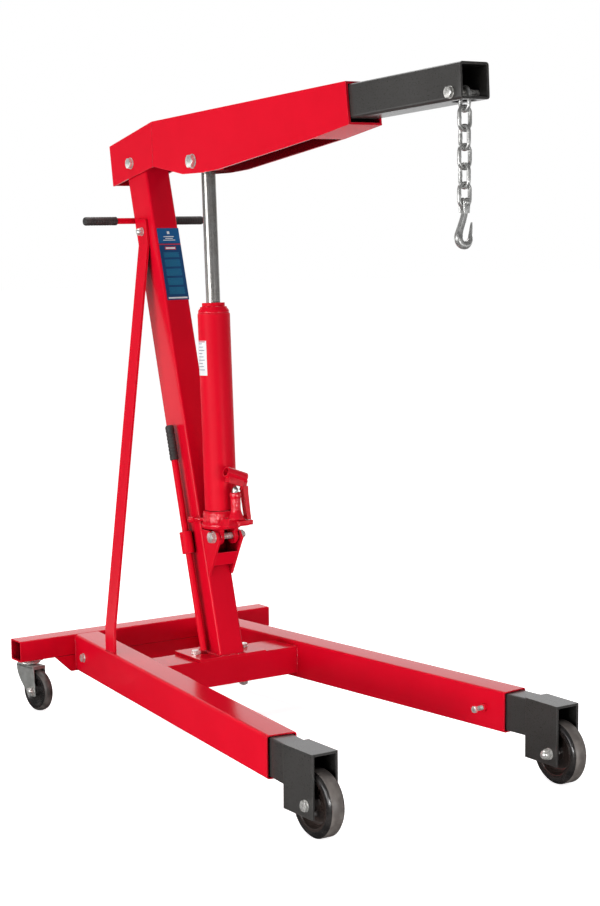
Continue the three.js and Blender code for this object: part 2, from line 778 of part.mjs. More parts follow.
function releaseValve() {
  const profile = [
    [0, 46],
    [4.5, 46],
    [4.5, 76],
    [8.5, 79],
    [9.5, 85],
    [8.5, 92],
    [4, 96],
    [0, 96],
  ];
  return turned(profile, 14).rotateY(-Math.PI / 2).rotateZ(VALVE_TURN).translate(0, 0, VALVE_Z);
}

function jack() {
  add("ram_base", inRam(ramBase()), red);
  add("ram_cylinder", inRam(ramBarrel()), red);
  add("ram_rod", inRam(ramRod()), chrome);
  add("ram_yoke", ramYoke(), red);
  add("ram_lower_bolt", ramLowerBolt(), zinc);
  add("pump_piston", inRam(pumpPiston()), chrome);
  add("handle_socket", inRam(handleSocket()), red);
  add("pump_link", inRam(pumpLink()), red);
  add("release_valve", inRam(releaseValve()), red);
}

// ---------------------------------------------------------------- boom
const BOOM_TOP_LINE = [[-103, 1623], [148, 1685], [1095, 1741]];
const BOOM_FRONT_FOOT = [1109, 1636.5];
const BELLY_FRONT = [954, 1609]; // where the bottom plate starts
const BOOM_RISE = Math.atan2(1741 - 1685, 1095 - 148);

function boom() {
  const side = [
    [-84, 1507],
    [153, 1559],
    [316, 1534],
    [416, 1536],
    [502, 1543],
    BELLY_FRONT,
    BOOM_FRONT_FOOT,
    ...[...BOOM_TOP_LINE].reverse(),
  ];
  const drop = ([x, z]) => [x, z - BOOM_PLATE];
  const inside = [
    [-140, 1400],
    [BELLY_FRONT[0] - 6, 1400],
    [BELLY_FRONT[0] - 6, BELLY_FRONT[1] + 6],
    [BOOM_FRONT_FOOT[0] + 20, BOOM_FRONT_FOOT[1] + 9],
    [1140, 1741 + 2.6 - BOOM_PLATE],
    drop(BOOM_TOP_LINE[2]),
    drop(BOOM_TOP_LINE[1]),
    drop(BOOM_TOP_LINE[0]),
    [-140, 1608],
  ];
  const half = BOOM_W / 2;
  return cut(
    slabY(side, -half, half),
    slabY(inside, -half + BOOM_PLATE, half - BOOM_PLATE),
    barY(9 + GAP, -80, 80).translate(PIVOT.x, 0, PIVOT.z),
    barY(TOP_BOLT_R + GAP, -80, 80).translate(RAM_TOP.x, 0, RAM_TOP.z),
  );
}

function boomBolts() {
  const reach = BOOM_W / 2 + GAP;
  const pivot = boltY(9, -reach, reach, 16, 11).translate(PIVOT.x, 0, PIVOT.z);
  const ram = boltY(TOP_BOLT_R, -reach, reach, 20, 13).translate(RAM_TOP.x, 0, RAM_TOP.z);
  add("boom_pivot_bolt", pivot, zinc);
  add("ram_top_bolt", ram, zinc);
}

// The extension runs parallel to the boom's top plate, its tip bolt at (TIP.x, TIP.z).
const TIP_BELOW_TOP = 66; // bolt below the tube's top face
const TIP_TO_END = 38; // bolt to the open end

function boomExtension() {
  const tail = (TIP.x - TUBE_TAIL_X) / Math.cos(BOOM_RISE);
  const tube = tubeX(-tail, TIP_TO_END, TUBE_SIDE, TUBE_SIDE, TUBE_WALL, 7);
  tube.translate(0, 0, TIP_BELOW_TOP - TUBE_SIDE / 2);
  const slotShape = rounded(66, 42, 20, 4).map(([x, y]) => [x - 3, y]);
  const slot = slabZ(slotShape, TIP_BELOW_TOP - TUBE_SIDE - 5, -6);
  const bolt = barY(TIP_BOLT_R + GAP, -60, 60, 16);
  return cut(tube, slot, bolt).rotateY(-BOOM_RISE).translate(TIP.x, 0, TIP.z);
}

function tipBolt() {
  const reach = TUBE_SIDE / 2 + GAP;
  return boltY(TIP_BOLT_R, -reach, reach, 14, 10).translate(TIP.x, 0, TIP.z);
}

// ---------------------------------------------------------------- chain and hook
const LINK_PITCH = LINK_LENGTH - 2 * LINK_WIRE - GAP;
const firstLinkZ = TIP.z + TIP_BOLT_R + LINK_WIRE + GAP - LINK_LENGTH / 2;
const linkZ = (i) => firstLinkZ - i * LINK_PITCH;
const PIN_R = 5;
const HOOK_PIN_Z = linkZ(LINK_COUNT - 1) - LINK_LENGTH / 2 + LINK_WIRE + PIN_R + GAP;

// Oval link. Even links lie in the plane of the boom, odd ones across it.
function chainLink(i) {
  const bend = (LINK_WIDTH - LINK_WIRE) / 2;
  const straight = (LINK_LENGTH - LINK_WIDTH) / 2;
  const steps = 6;
  const points = [];
  for (const [start, lift] of [[0, straight], [180, -straight]]) {
    for (let k = 0; k <= steps; k++) {
      const a = THREE.MathUtils.degToRad(start + (180 * k) / steps);
      const w = bend * Math.cos(a);
      const z = lift + bend * Math.sin(a);
      points.push(i % 2 ? new THREE.Vector3(0, w, z) : new THREE.Vector3(w, 0, z));
    }
  }
  const side = i % 2 ? new THREE.Vector3(1, 0, 0) : new THREE.Vector3(0, -1, 0);
  const radii = points.map(() => LINK_WIRE / 2);
  return wire(points, radii, side, true).translate(TIP.x, 0, linkZ(i));
}

function hook() {
  const path = [[0, -24], [-3, -36], [-9, -50], [-15, -62]];
  const radii = [8, 7.5, 7.5, 8];
  const centre = [0, -80];
  const bowl = 18;
  for (let a = 165; a <= 375; a += 17.5) {
    const t = THREE.MathUtils.degToRad(a);
    path.push([centre[0] + bowl * Math.cos(t), centre[1] + bowl * Math.sin(t)]);
    radii.push(a < 290 ? 8.5 : 8.5 - (3.5 * (a - 290)) / 85);
  }
  path.push([18.5, -62], [20, -42]);
  radii.push(4.2, 1.6);
  const points = path.map(([y, z]) => new THREE.Vector3(0, y, z));
  const curve = wire(points, radii, new THREE.Vector3(1, 0, 0), false, 10);
  const cheek = [[-8, 8], [-10, 0], [-9, -26], [9, -26], [10, 0], [8, 8]];
  const clevis = cut(
    slabX(cheek, -11, 11),
    slabX([[-20, 20], [-20, -17], [20, -17], [20, 20]], -5.2, 5.2),
  );
  const body = cut(join(curve, clevis), barX(PIN_R + GAP, -30, 30, 14));
  return body.translate(TIP.x, 0, HOOK_PIN_Z);
}

function hookPin() {
  const pin = join(barX(PIN_R, -15, 15, 14), barX(7.5, 11 + GAP, 16, 14));
  return pin.translate(TIP.x, 0, HOOK_PIN_Z);
}

// ---------------------------------------------------------------- assembly
add("rear_beam", rearBeam(), red);
caster();
legsAndWheels();
add("cross_beam", crossBeam(), red);
add("mast", mast(), red);
addPair("foot_bolt", footBolt(), zinc);
add("brace", brace(), red);
add("brace_bolt", braceBolt(), zinc);
pushHandle();
storedHandle();
addPair("ram_bracket", ramBracket(), red);
add("bracket_cross_plate", bracketCrossPlate(), red);
jack();
add("boom", boom(), red);
boomBolts();
add("boom_extension", boomExtension(), black);
add("tip_bolt", tipBolt(), zinc);
for (let i = 0; i < LINK_COUNT; i++) add(`chain_link_${i + 1}`, chainLink(i), zinc);
add("hook", hook(), zinc);
add("hook_pin", hookPin(), zinc);

// Centre the machine over the origin.
const box = new THREE.Box3().setFromObject(machine, true);
const middle = (box.min.x + box.max.x) / 2;
machine.children.forEach((mesh) => mesh.geometry.translate(-middle, 0, 0));

export default machine;
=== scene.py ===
"""Looks of the workshop engine hoist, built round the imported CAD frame.

Metres, +X forward, +Y to the machine's left, +Z up, floor at z = 0.
CAD nodes whose shape is right keep their mesh and get a material, rounded edges and smooth
shading. Wheels, casters, bolts, chain, hook, grips and the jack's base are rebuilt in finer
detail. Welds, seams, labels and the boom's tail plate are added.
"""

import math

import bmesh
import bpy
from mathutils import Matrix, Vector
from mathutils.noise import noise
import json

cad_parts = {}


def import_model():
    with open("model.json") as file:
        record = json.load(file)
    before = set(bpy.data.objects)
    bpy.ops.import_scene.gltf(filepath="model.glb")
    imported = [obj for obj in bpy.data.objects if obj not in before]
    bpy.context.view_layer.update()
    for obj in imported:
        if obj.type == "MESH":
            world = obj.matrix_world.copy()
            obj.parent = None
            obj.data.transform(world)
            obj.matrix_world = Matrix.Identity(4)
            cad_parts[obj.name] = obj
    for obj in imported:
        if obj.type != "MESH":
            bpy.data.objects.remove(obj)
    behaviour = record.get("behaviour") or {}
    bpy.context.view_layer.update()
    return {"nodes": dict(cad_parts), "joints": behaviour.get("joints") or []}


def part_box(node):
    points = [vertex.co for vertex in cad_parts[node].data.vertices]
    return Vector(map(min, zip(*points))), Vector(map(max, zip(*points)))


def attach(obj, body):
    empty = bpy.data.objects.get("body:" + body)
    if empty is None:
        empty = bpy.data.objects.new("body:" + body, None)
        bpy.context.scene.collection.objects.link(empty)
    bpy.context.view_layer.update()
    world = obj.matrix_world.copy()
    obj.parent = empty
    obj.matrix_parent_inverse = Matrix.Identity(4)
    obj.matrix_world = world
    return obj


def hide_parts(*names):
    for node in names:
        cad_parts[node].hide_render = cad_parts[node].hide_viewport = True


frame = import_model()

MM = 0.001
SIDES = ("right", "left")
Y_SIGN = {"right": -1, "left": 1}
JOINTS = {j["name"]: j for j in frame["joints"]}

# Sizes of the CAD that its boxes and joints do not give on their own.
LEG_WIDTH = 80 * MM
SCREW_ALONG_LEG = 1194 * MM  # lock screw, from the leg's outer rear corner
MAST_HALF = 40 * MM
MAST_DEPTH = 108 * MM
BRACE_THICK = 8 * MM
FOOT_HEAD = 10 * MM  # height of a foot bolt's head
HOUSING_HALF = 36 * MM  # outer face of a front wheel's housing, from the wheel's middle
RAM_PIN_AHEAD = 19 * MM  # the jack's lower pin, ahead of its middle line
GAP = 0.3 * MM  # keeps a bolt's head or nut just off the face it bears on
WASHER = 1.6 * MM  # thickness of every washer


# ---------- node helpers
def new_material(name):
    """An empty node material: its tree, its shader and its object coordinates."""
    material = bpy.data.materials.new(name)
    material.use_nodes = True
    tree = material.node_tree
    shader = tree.nodes["Principled BSDF"]
    return material, tree, shader, add_node(tree, "TexCoord").outputs["Object"]


def fill(tree, node, inputs):
    """Links a node's inputs to the sockets given, and sets those given as values."""
    for name, value in inputs.items():
        if isinstance(value, bpy.types.NodeSocket):
            tree.links.new(value, node.inputs[name])
        else:
            node.inputs[name].default_value = value


def add_node(tree, kind, inputs=(), **settings):
    """A new shader node with its settings and inputs."""
    node = tree.nodes.new(f"ShaderNode{kind}")
    for name, value in settings.items():
        setattr(node, name, value)
    fill(tree, node, dict(inputs))
    return node


def noise_node(tree, coords, scale, detail=3.0, stretch=None):
    """Noise in object space, stretched by a vector if one is given."""
    if stretch:
        coords = add_node(tree, "Mapping", {"Vector": coords, "Scale": stretch}).outputs["Vector"]
    inputs = {"Vector": coords, "Scale": scale, "Detail": detail}
    return add_node(tree, "TexNoise", inputs).outputs["Fac"]


def remap(tree, value, low, high, to_low=0.0, to_high=1.0):
    """Maps low to high onto to_low to to_high, without going past either end."""
    inputs = {
        "Value": value, "From Min": low, "From Max": high, "To Min": to_low, "To Max": to_high,
    }
    return add_node(tree, "MapRange", inputs).outputs["Result"]


def multiply(tree, first, second):
    return add_node(tree, "Math", {0: first, 1: second}, operation="MULTIPLY").outputs[0]


def by_ray(tree, by_camera, other, camera_value):
    """camera_value for rays from the camera, the other socket's value for all the rest."""
    inputs = {"Factor": by_camera, "A": other, "B": camera_value}
    return add_node(tree, "Mix", inputs).outputs["Result"]


def mix_colour(tree, factor, first, second):
    """Mixes two colours, or a colour socket and a colour, by a factor socket."""
    node = add_node(tree, "Mix", {"Factor": factor}, data_type="RGBA")
    for value, socket in ((first, node.inputs[6]), (second, node.inputs[7])):
        if isinstance(value, tuple):
            socket.default_value = (*value, 1.0)
        else:
            tree.links.new(value, socket)
    return node.outputs[2]


def add_bump(tree, shader, *layers):
    """Stacks (height socket, strength, depth in metres) layers into the shader's normal."""
    below = {}
    for height, strength, depth in layers:
        inputs = {"Height": height, "Strength": strength, "Distance": depth, **below}
        below = {"Normal": add_node(tree, "Bump", inputs).outputs["Normal"]}
    tree.links.new(below["Normal"], shader.inputs["Normal"])


def edge_mask(tree, radius):
    """1 on convex and concave edges, 0 on flat faces."""
    rounded = add_node(tree, "Bevel", {"Radius": radius}, samples=4).outputs["Normal"]
    normal = add_node(tree, "NewGeometry").outputs["Normal"]
    dot = add_node(tree, "VectorMath", {0: rounded, 1: normal}, operation="DOT_PRODUCT")
    return remap(tree, dot.outputs["Value"], 0.995, 0.9)


def hollow_shade_mask(tree, reach):
    """1 deep inside tubes and channels, 0 in the open; the paint uses it to paint shade into hollows."""
    node = add_node(tree, "AmbientOcclusion", {"Distance": reach}, samples=6)
    return remap(tree, node.outputs["AO"], 0.47, 0.15)


def inner_wall_shade_mask(tree, coords, half):
    """1 on faces that look across the machine from less than half from its middle plane; the paint uses
    it to paint shade on a channel's inner walls.
    """
    normal = add_node(tree, "NewGeometry").outputs["Normal"]
    masks = []
    for vector, low, high in ((coords, half, half - 0.2 * MM), (normal, 0.6, 0.8)):
        y = add_node(tree, "SeparateXYZ", {"Vector": vector}).outputs["Y"]
        size = add_node(tree, "Math", {0: y}, operation="ABSOLUTE").outputs[0]
        masks.append(remap(tree, size, low, high))
    return multiply(tree, *masks)


# ---------- materials
def paint(
    name, colour, deep, edge, roughness, coat, peel, specular=0.16, shade_hollows=True, shaded_inner_half=None,
):
    """Powder coat: soft patches of tone, a highlight painted along the edges, orange peel and fine dust
    marks.

    The flag paints shade into the insides of tubes; the half-width marks a channel's inner walls, which
    get painted shade.
    """
    material, tree, shader, coords = new_material(name)
    patches = remap(tree, noise_node(tree, coords, 7.0, 4.0), 0.35, 0.65)
    body = mix_colour(tree, patches, deep, colour)
    # Painted highlight: edges are mixed toward the lighter edge colour, broken up by noise, standing in
    # for light caught on rounded edges.
    edge_highlight_mask = edge_mask(tree, 1.6 * MM)
    highlight_break = remap(tree, noise_node(tree, coords, 60.0), 0.3, 0.7, 0.25, 0.8)
    worn_and_edge_lit = mix_colour(tree, multiply(tree, edge_highlight_mask, highlight_break), body, edge)
    # Painted shade: deep hollows are darkened toward a near-black tone of the paint.
    shadow = tuple(0.14 * channel for channel in deep)
    shaded = mix_colour(tree, hollow_shade_mask(tree, 0.14), worn_and_edge_lit, shadow) if shade_hollows else worn_and_edge_lit
    # Painted shade on a channel's inner walls.
    if shaded_inner_half:
        shaded = mix_colour(tree, inner_wall_shade_mask(tree, coords, shaded_inner_half), shaded, shadow)
    specks = noise_node(tree, coords, 420.0, 2.0)
    fill(tree, shader, {
        "Base Color": shaded,
        "Roughness": remap(tree, specks, 0.3, 0.75, roughness - 0.04, roughness + 0.08),
        "Coat Weight": coat,
        "Coat Roughness": 0.12,
        "Specular IOR Level": specular,
    })
    add_bump(
        tree,
        shader,
        (noise_node(tree, coords, 260.0, 2.0), peel, 0.35 * MM),
        (noise_node(tree, coords, 14.0, 2.0), 0.03, 2.0 * MM),
    )
    return material


def cast_paint(name, colour, deep):
    """Thick paint over rough cast iron, as on the jack's base."""
    material, tree, shader, coords = new_material(name)
    lumps = noise_node(tree, coords, 170.0, 5.0)
    fill(tree, shader, {
        "Base Color": mix_colour(tree, remap(tree, lumps, 0.35, 0.65), deep, colour),
        "Roughness": 0.14,
        "Specular IOR Level": 0.3,
        "Coat Weight": 0.25,
        "Coat Roughness": 0.04,
    })
    fine = noise_node(tree, coords, 420.0, 2.0)
    add_bump(tree, shader, (lumps, 0.5, 1.6 * MM), (fine, 0.15, 0.5 * MM))
    return material


def plated(name, colour, dark, roughness, scale):
    """Zinc plate: cloudy, slightly yellowed, with fine rubbing marks."""
    material, tree, shader, coords = new_material(name)
    cloud = remap(tree, noise_node(tree, coords, scale, 5.0), 0.35, 0.65)
    marks = noise_node(tree, coords, 900.0, stretch=(1.0, 1.0, 0.12))
    fill(tree, shader, {
        "Base Color": mix_colour(tree, cloud, dark, colour),
        "Metallic": 0.66,
        "Roughness": remap(tree, marks, 0.3, 0.7, roughness - 0.06, roughness + 0.12),
    })
    add_bump(tree, shader, (marks, 0.12, 0.15 * MM), (cloud, 0.1, 0.3 * MM))
    return material


def polished_rod(name):
    """Hard chrome with faint rings from grinding and a thin film of oil."""
    material, tree, shader, coords = new_material(name)
    rings = noise_node(tree, coords, 700.0, 2.0, stretch=(0.1, 0.1, 1.0))
    film = remap(tree, noise_node(tree, coords, 18.0), 0.35, 0.7)
    fill(tree, shader, {
        "Base Color": mix_colour(tree, film, (0.42, 0.41, 0.40), (0.34, 0.32, 0.30)),
        "Metallic": 0.9,
        "Roughness": remap(tree, rings, 0.3, 0.7, 0.16, 0.26),
    })
    add_bump(tree, shader, (rings, 0.05, 0.1 * MM))
    return material


def rubber(name, colour, worn_and_edge_lit, roughness, grain):
    """Tyre rubber: scuffed patches, fine grain and specks of dust."""
    material, tree, shader, coords = new_material(name)
    scuff = remap(tree, noise_node(tree, coords, 34.0, 6.0), 0.42, 0.66)
    fine = noise_node(tree, coords, grain)
    fill(tree, shader, {
        "Base Color": mix_colour(tree, scuff, colour, worn_and_edge_lit),
        "Roughness": remap(tree, fine, 0.3, 0.7, roughness - 0.08, roughness + 0.1),
        "Specular IOR Level": 0.45,
    })
    add_bump(tree, shader, (fine, 0.3, 0.25 * MM), (scuff, 0.12, 0.4 * MM))
    return material


def printed(name, colour, tint):
    """Printed vinyl: even colour, low sheen, a little ripple."""
    material, tree, shader, coords = new_material(name)
    fade = remap(tree, noise_node(tree, coords, 22.0, 2.0), 0.3, 0.7)
    fill(tree, shader, {"Base Color": mix_colour(tree, fade, colour, tint), "Roughness": 0.32})
    add_bump(tree, shader, (noise_node(tree, coords, 90.0, 2.0), 0.08, 0.3 * MM))
    return material


# Tones: body colour, a deeper tone for random patches, and a lighter colour painted on edges as a
# highlight.
RED_TONES = ((0.74, 0.003, 0.020), (0.70, 0.0025, 0.018), (0.86, 0.10, 0.12))
RED = paint("red_powder_coat", *RED_TONES, 0.17, 0.0, 0.012)
# The boom's coat, with painted shade on the inner walls of its channel.
RED_BOOM = paint("red_boom_coat", *RED_TONES, 0.17, 0.0, 0.012, shaded_inner_half=46 * MM)
RED_CAST = cast_paint("red_cast_iron", (0.74, 0.003, 0.020), (0.62, 0.002, 0.016))
WELD = cast_paint("red_weld", (0.70, 0.004, 0.022), (0.50, 0.002, 0.014))
RED_ROUND = paint("red_tube_coat", *RED_TONES, 0.36, 0.0, 0.012, specular=0.06)
# Black tones; the last is a lighter colour painted on edges as a highlight.
BLACK_TONES = ((0.050, 0.048, 0.046), (0.040, 0.038, 0.036), (0.20, 0.195, 0.19))
BLACK = paint("black_powder_coat", *BLACK_TONES, 0.30, 0.15, 0.05, specular=0.4)
ZINC = plated("zinc_plate", (0.86, 0.85, 0.82), (0.66, 0.65, 0.62), 0.24, 60.0)
ZINC_BRIGHT = plated("bright_zinc_plate", (0.56, 0.56, 0.55), (0.40, 0.40, 0.39), 0.28, 90.0)
ZINC_DULL = plated("dull_zinc_plate", (0.55, 0.56, 0.54), (0.38, 0.39, 0.37), 0.34, 40.0)
CHROME = polished_rod("hard_chrome")
TREAD = rubber("tyre_tread", (0.115, 0.100, 0.092), (0.19, 0.168, 0.154), 0.45, 600.0)
SIDEWALL = rubber("tyre_sidewall", (0.014, 0.013, 0.013), (0.030, 0.027, 0.026), 0.22, 800.0)
CASTER_RUBBER = rubber("caster_tread", (0.035, 0.031, 0.029), (0.10, 0.086, 0.08), 0.42, 700.0)
# Rim tones; the last is a lighter colour painted on edges as a highlight.
RIM_TONES = ((0.034, 0.024, 0.021), (0.024, 0.017, 0.015), (0.09, 0.08, 0.075))
RIM = paint("black_rim_paint", *RIM_TONES, 0.2, 0.6, 0.1, specular=0.5, shade_hollows=False)
GRIP = rubber("grip_rubber", (0.028, 0.026, 0.026), (0.05, 0.046, 0.045), 0.55, 900.0)
LABEL_BLUE = printed("label_blue", (0.005, 0.095, 0.27), (0.008, 0.11, 0.31))
LABEL_NAVY = printed("label_navy", (0.004, 0.050, 0.155), (0.005, 0.056, 0.17))
LABEL_TEAL = printed("label_pale_blue", (0.02, 0.26, 0.42), (0.02, 0.22, 0.38))
LABEL_WHITE = printed("label_white", (0.85, 0.86, 0.87), (0.8, 0.81, 0.82))
LABEL_RED = printed("label_red", (0.55, 0.03, 0.07), (0.5, 0.03, 0.07))


# ---------- CAD nodes that keep their mesh
def smooth_by_angle():
    """Geometry nodes: smooth faces with edges kept sharp above 32 degrees."""
    group = bpy.data.node_groups.new("smooth_by_angle", "GeometryNodeTree")
    for way in ("INPUT", "OUTPUT"):
        group.interface.new_socket("Geometry", in_out=way, socket_type="NodeSocketGeometry")
    start = group.nodes.new("NodeGroupInput")
    end = group.nodes.new("NodeGroupOutput")
    faces = group.nodes.new("GeometryNodeSetShadeSmooth")
    edges = group.nodes.new("GeometryNodeSetShadeSmooth")
    edges.domain = "EDGE"
    edges.inputs["Shade Smooth"].default_value = False
    angle = group.nodes.new("GeometryNodeInputMeshEdgeAngle")
    limit = group.nodes.new("FunctionNodeCompare")
    limit.inputs["B"].default_value = math.radians(32)
    group.links.new(start.outputs[0], faces.inputs["Geometry"])
    group.links.new(faces.outputs["Geometry"], edges.inputs["Geometry"])
    group.links.new(angle.outputs["Unsigned Angle"], limit.inputs["A"])
    group.links.new(limit.outputs["Result"], edges.inputs["Selection"])
    group.links.new(edges.outputs["Geometry"], end.inputs[0])
    return group


SMOOTH = smooth_by_angle()


def modify(obj, name, kind, **settings):
    modifier = obj.modifiers.new(name, kind)
    for setting, value in settings.items():
        setattr(modifier, setting, value)


def dress(node, material, round_edges=0.8 * MM):
    """Gives a CAD node its material, rounded edges and smooth shading, all by modifiers."""
    obj = frame["nodes"][node]
    obj.data.materials.clear()
    obj.data.materials.append(material)
    modify(obj, "weld", "WELD", merge_threshold=0.01 * MM)
    modify(
        obj, "round_edges", "BEVEL", width=round_edges, segments=2, limit_method="ANGLE",
        angle_limit=math.radians(40), use_clamp_overlap=True,
    )
    modify(obj, "smooth_by_angle", "NODES", node_group=SMOOTH)
    modify(obj, "flat_faces", "WEIGHTED_NORMAL", keep_sharp=True)


def dress_frame():
    for node in ("rear_beam", "cross_beam", "mast", "brace", "bracket_cross_plate", "ram_yoke"):
        dress(node, RED)
    dress("boom", RED_BOOM)
    for node in ("leg", "ram_bracket"):
        for side in SIDES:
            dress(f"{node}_{side}", RED)
    for node in ("push_handle", "handle_sleeve", "pump_handle", "ram_cylinder"):
        dress(node, RED_ROUND, 0.5 * MM)
    for node in ("handle_socket", "pump_link", "release_valve"):
        dress(node, RED_CAST, 1.0 * MM)
    for side in SIDES:
        dress(f"leg_extension_{side}", BLACK)
    dress("boom_extension", BLACK)
    dress("ram_rod", CHROME, 0.4 * MM)
    dress("pump_piston", CHROME, 0.4 * MM)


# ---------- mesh helpers
def piece(name, bm, body, material, smooth_angle=35.0):
    """Turns a bmesh into a piece that rides on a CAD body."""
    bmesh.ops.recalc_face_normals(bm, faces=bm.faces)
    obj = mesh_object(name, bm, material if isinstance(material, list) else [material])
    obj.data.shade_smooth()
    obj.data.set_sharp_from_angle(angle=math.radians(smooth_angle))
    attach(obj, body)
    return obj


def mesh_object(name, bm, materials):
    mesh = bpy.data.meshes.new(name)
    bm.to_mesh(mesh)
    bm.free()
    for material in materials:
        mesh.materials.append(material)
    return add_object(name, mesh)


def add_object(name, data):
    obj = bpy.data.objects.new(name, data)
    bpy.context.scene.collection.objects.link(obj)
    return obj


def rebuild(node, bm, body, material, smooth_angle=35.0):
    """A piece, drawn in finer detail, that takes the place of one CAD node."""
    obj = piece(f"{node}_detail", bm, body, material, smooth_angle)
    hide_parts(node)
    return obj


def mm(pairs):
    """Pairs of sizes in millimetres, turned into metres."""
    return [(first * MM, second * MM) for first, second in pairs]


def mirrored(half):
    """A closed (radius, height) profile from its upper half: out along the bottom, back on top."""
    return [(r, -h) for r, h in half] + [(r, h) for r, h in reversed(half) if h > 0]


def split_materials(bm, at, limit):
    """Material 0 for faces farther than limit from the axis, material 1 for the rest."""
    for face in bm.faces:
        local = at.inverted() @ face.calc_center_median()
        face.material_index = 0 if math.hypot(local.x, local.y) > limit else 1


def axis_frame(origin, axis, hint=(0, 0, 1)):
    """Matrix that puts local Z along axis and local X as near to hint as it can be."""
    z = Vector(axis).normalized()
    x = Vector(hint) - z * z.dot(Vector(hint))
    if x.length < 1e-6:
        x = Vector((1, 0, 0)) - z * z.x
    x.normalize()
    y = z.cross(x)
    turn = Matrix((x, y, z)).transposed().to_4x4()
    return Matrix.Translation(Vector(origin)) @ turn


def joint_frame(name):
    return axis_frame(JOINTS[name]["pos_m"], JOINTS[name]["axis"])


def box_centre(node):
    low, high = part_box(node)
    return (low + high) / 2


def add_faces(bm, rings, close_ring=True, close_loop=False, caps=False, material=0):
    """Skins rings of equal length into quads."""
    rows = [[bm.verts.new(point) for point in ring] for ring in rings]
    count = len(rows[0])
    pairs = list(zip(rows, rows[1:]))
    if close_loop:
        pairs.append((rows[-1], rows[0]))
    made = []
    for low, high in pairs:
        for i in range(count if close_ring else count - 1):
            j = (i + 1) % count
            made.append(bm.faces.new((low[i], low[j], high[j], high[i])))
    if caps:
        made.append(bm.faces.new(list(reversed(rows[0]))))
        made.append(bm.faces.new(rows[-1]))
    for face in made:
        face.material_index = material


def add_turned(bm, profile, segments=48, matrix=Matrix(), closed=True):
    """Profile of (radius, height) turned about local Z. A closed profile makes a ring."""
    rings = []
    for radius, height in profile:
        ring = []
        for i in range(segments):
            a = 2 * math.pi * i / segments
            ring.append(matrix @ Vector((radius * math.cos(a), radius * math.sin(a), height)))
        rings.append(ring)
    add_faces(bm, rings, close_loop=closed, caps=not closed)


def add_sweep(bm, path, radii, side, sides=16, closed=False):
    """Round section swept along a flat path; side is the normal of the path's plane."""
    rings = []
    count = len(path)
    for i, point in enumerate(path):
        before = path[(i - 1) % count if closed else max(i - 1, 0)]
        after = path[(i + 1) % count if closed else min(i + 1, count - 1)]
        across = (after - before).normalized().cross(side)
        ring = []
        for k in range(sides):
            a = 2 * math.pi * k / sides
            ring.append(point + across * (radii[i] * math.cos(a)) + side * (radii[i] * math.sin(a)))
        rings.append(ring)
    add_faces(bm, rings, close_loop=closed, caps=not closed)


def add_hex(bm, apothem, low, high, matrix=Matrix(), chamfer_top=True, chamfer_bottom=False):
    """Hexagon head or nut with the corners cut back by a cone, as a real one is turned."""
    steps = 24
    slope = math.tan(math.radians(30))

    def ring(height, scale_to=None, cone=0.0):
        points = []
        for i in range(steps):
            a = 2 * math.pi * i / steps
            around = (a + math.pi / 6) % (math.pi / 3) - math.pi / 6
            radius = apothem / math.cos(around) if scale_to is None else scale_to
            drop = cone * max(radius - 0.96 * apothem, 0) * slope
            points.append(matrix @ Vector((radius * math.cos(a), radius * math.sin(a), height - drop)))
        return points

    rings = []
    if chamfer_bottom:
        rings.append(ring(low, scale_to=0.94 * apothem))
        rings.append(ring(low, cone=-1.0))
    else:
        rings.append(ring(low))
    if chamfer_top:
        rings.append(ring(high, cone=1.0))
        rings.append(ring(high, scale_to=0.94 * apothem))
    else:
        rings.append(ring(high))
    add_faces(bm, rings, caps=True)


def add_thread(bm, radius, low, high, matrix=Matrix()):
    """Bolt shank whose rings rise and fall like a thread, with a chamfered end."""
    pitch = 1.5 * MM
    count = max(int((high - low) / pitch), 2)
    profile = [(radius, low)]
    for i in range(count):
        base = low + (high - low) * i / count
        profile.append((radius, base + 0.25 * pitch))
        profile.append((radius - 0.5 * pitch, base + 0.7 * pitch))
    profile.append((radius - 0.8 * pitch, high))
    add_turned(bm, profile, 20, matrix, closed=False)


def add_washer(bm, inner, outer, low, high, matrix=Matrix()):
    edge = 0.25 * (high - low)
    profile = [
        (inner, low), (outer - edge, low), (outer, low + edge),
        (outer, high - edge), (outer - edge, high), (inner, high),
    ]
    add_turned(bm, profile, 36, matrix)


def add_dome(bm, radius, low, high, matrix=Matrix()):
    """Low rounded cap, as on a domed nut."""
    rows = 5
    tall = high - low
    profile = [(radius, low), (radius, low + 0.3 * tall)]
    for i in range(1, rows + 1):
        a = 0.5 * math.pi * i / rows
        height = low + tall * (0.3 + 0.7 * math.sin(a))
        profile.append((max(radius * math.cos(a), 0.3 * MM), height))
    add_turned(bm, profile, 28, matrix, closed=False)


def add_block(bm, at, x0, x1, y0, y1, z0, z1, taper=0.0):
    """Box in millimetres, its top drawn in on every side by taper."""
    rings = []
    for z, inset in ((z0, 0.0), (z1, taper)):
        corners = (
            (x0 + inset, y0 + inset), (x1 - inset, y0 + inset),
            (x1 - inset, y1 - inset), (x0 + inset, y1 - inset),
        )
        rings.append([at @ (Vector((x, y, z)) * MM) for x, y in corners])
    add_faces(bm, rings, caps=True)


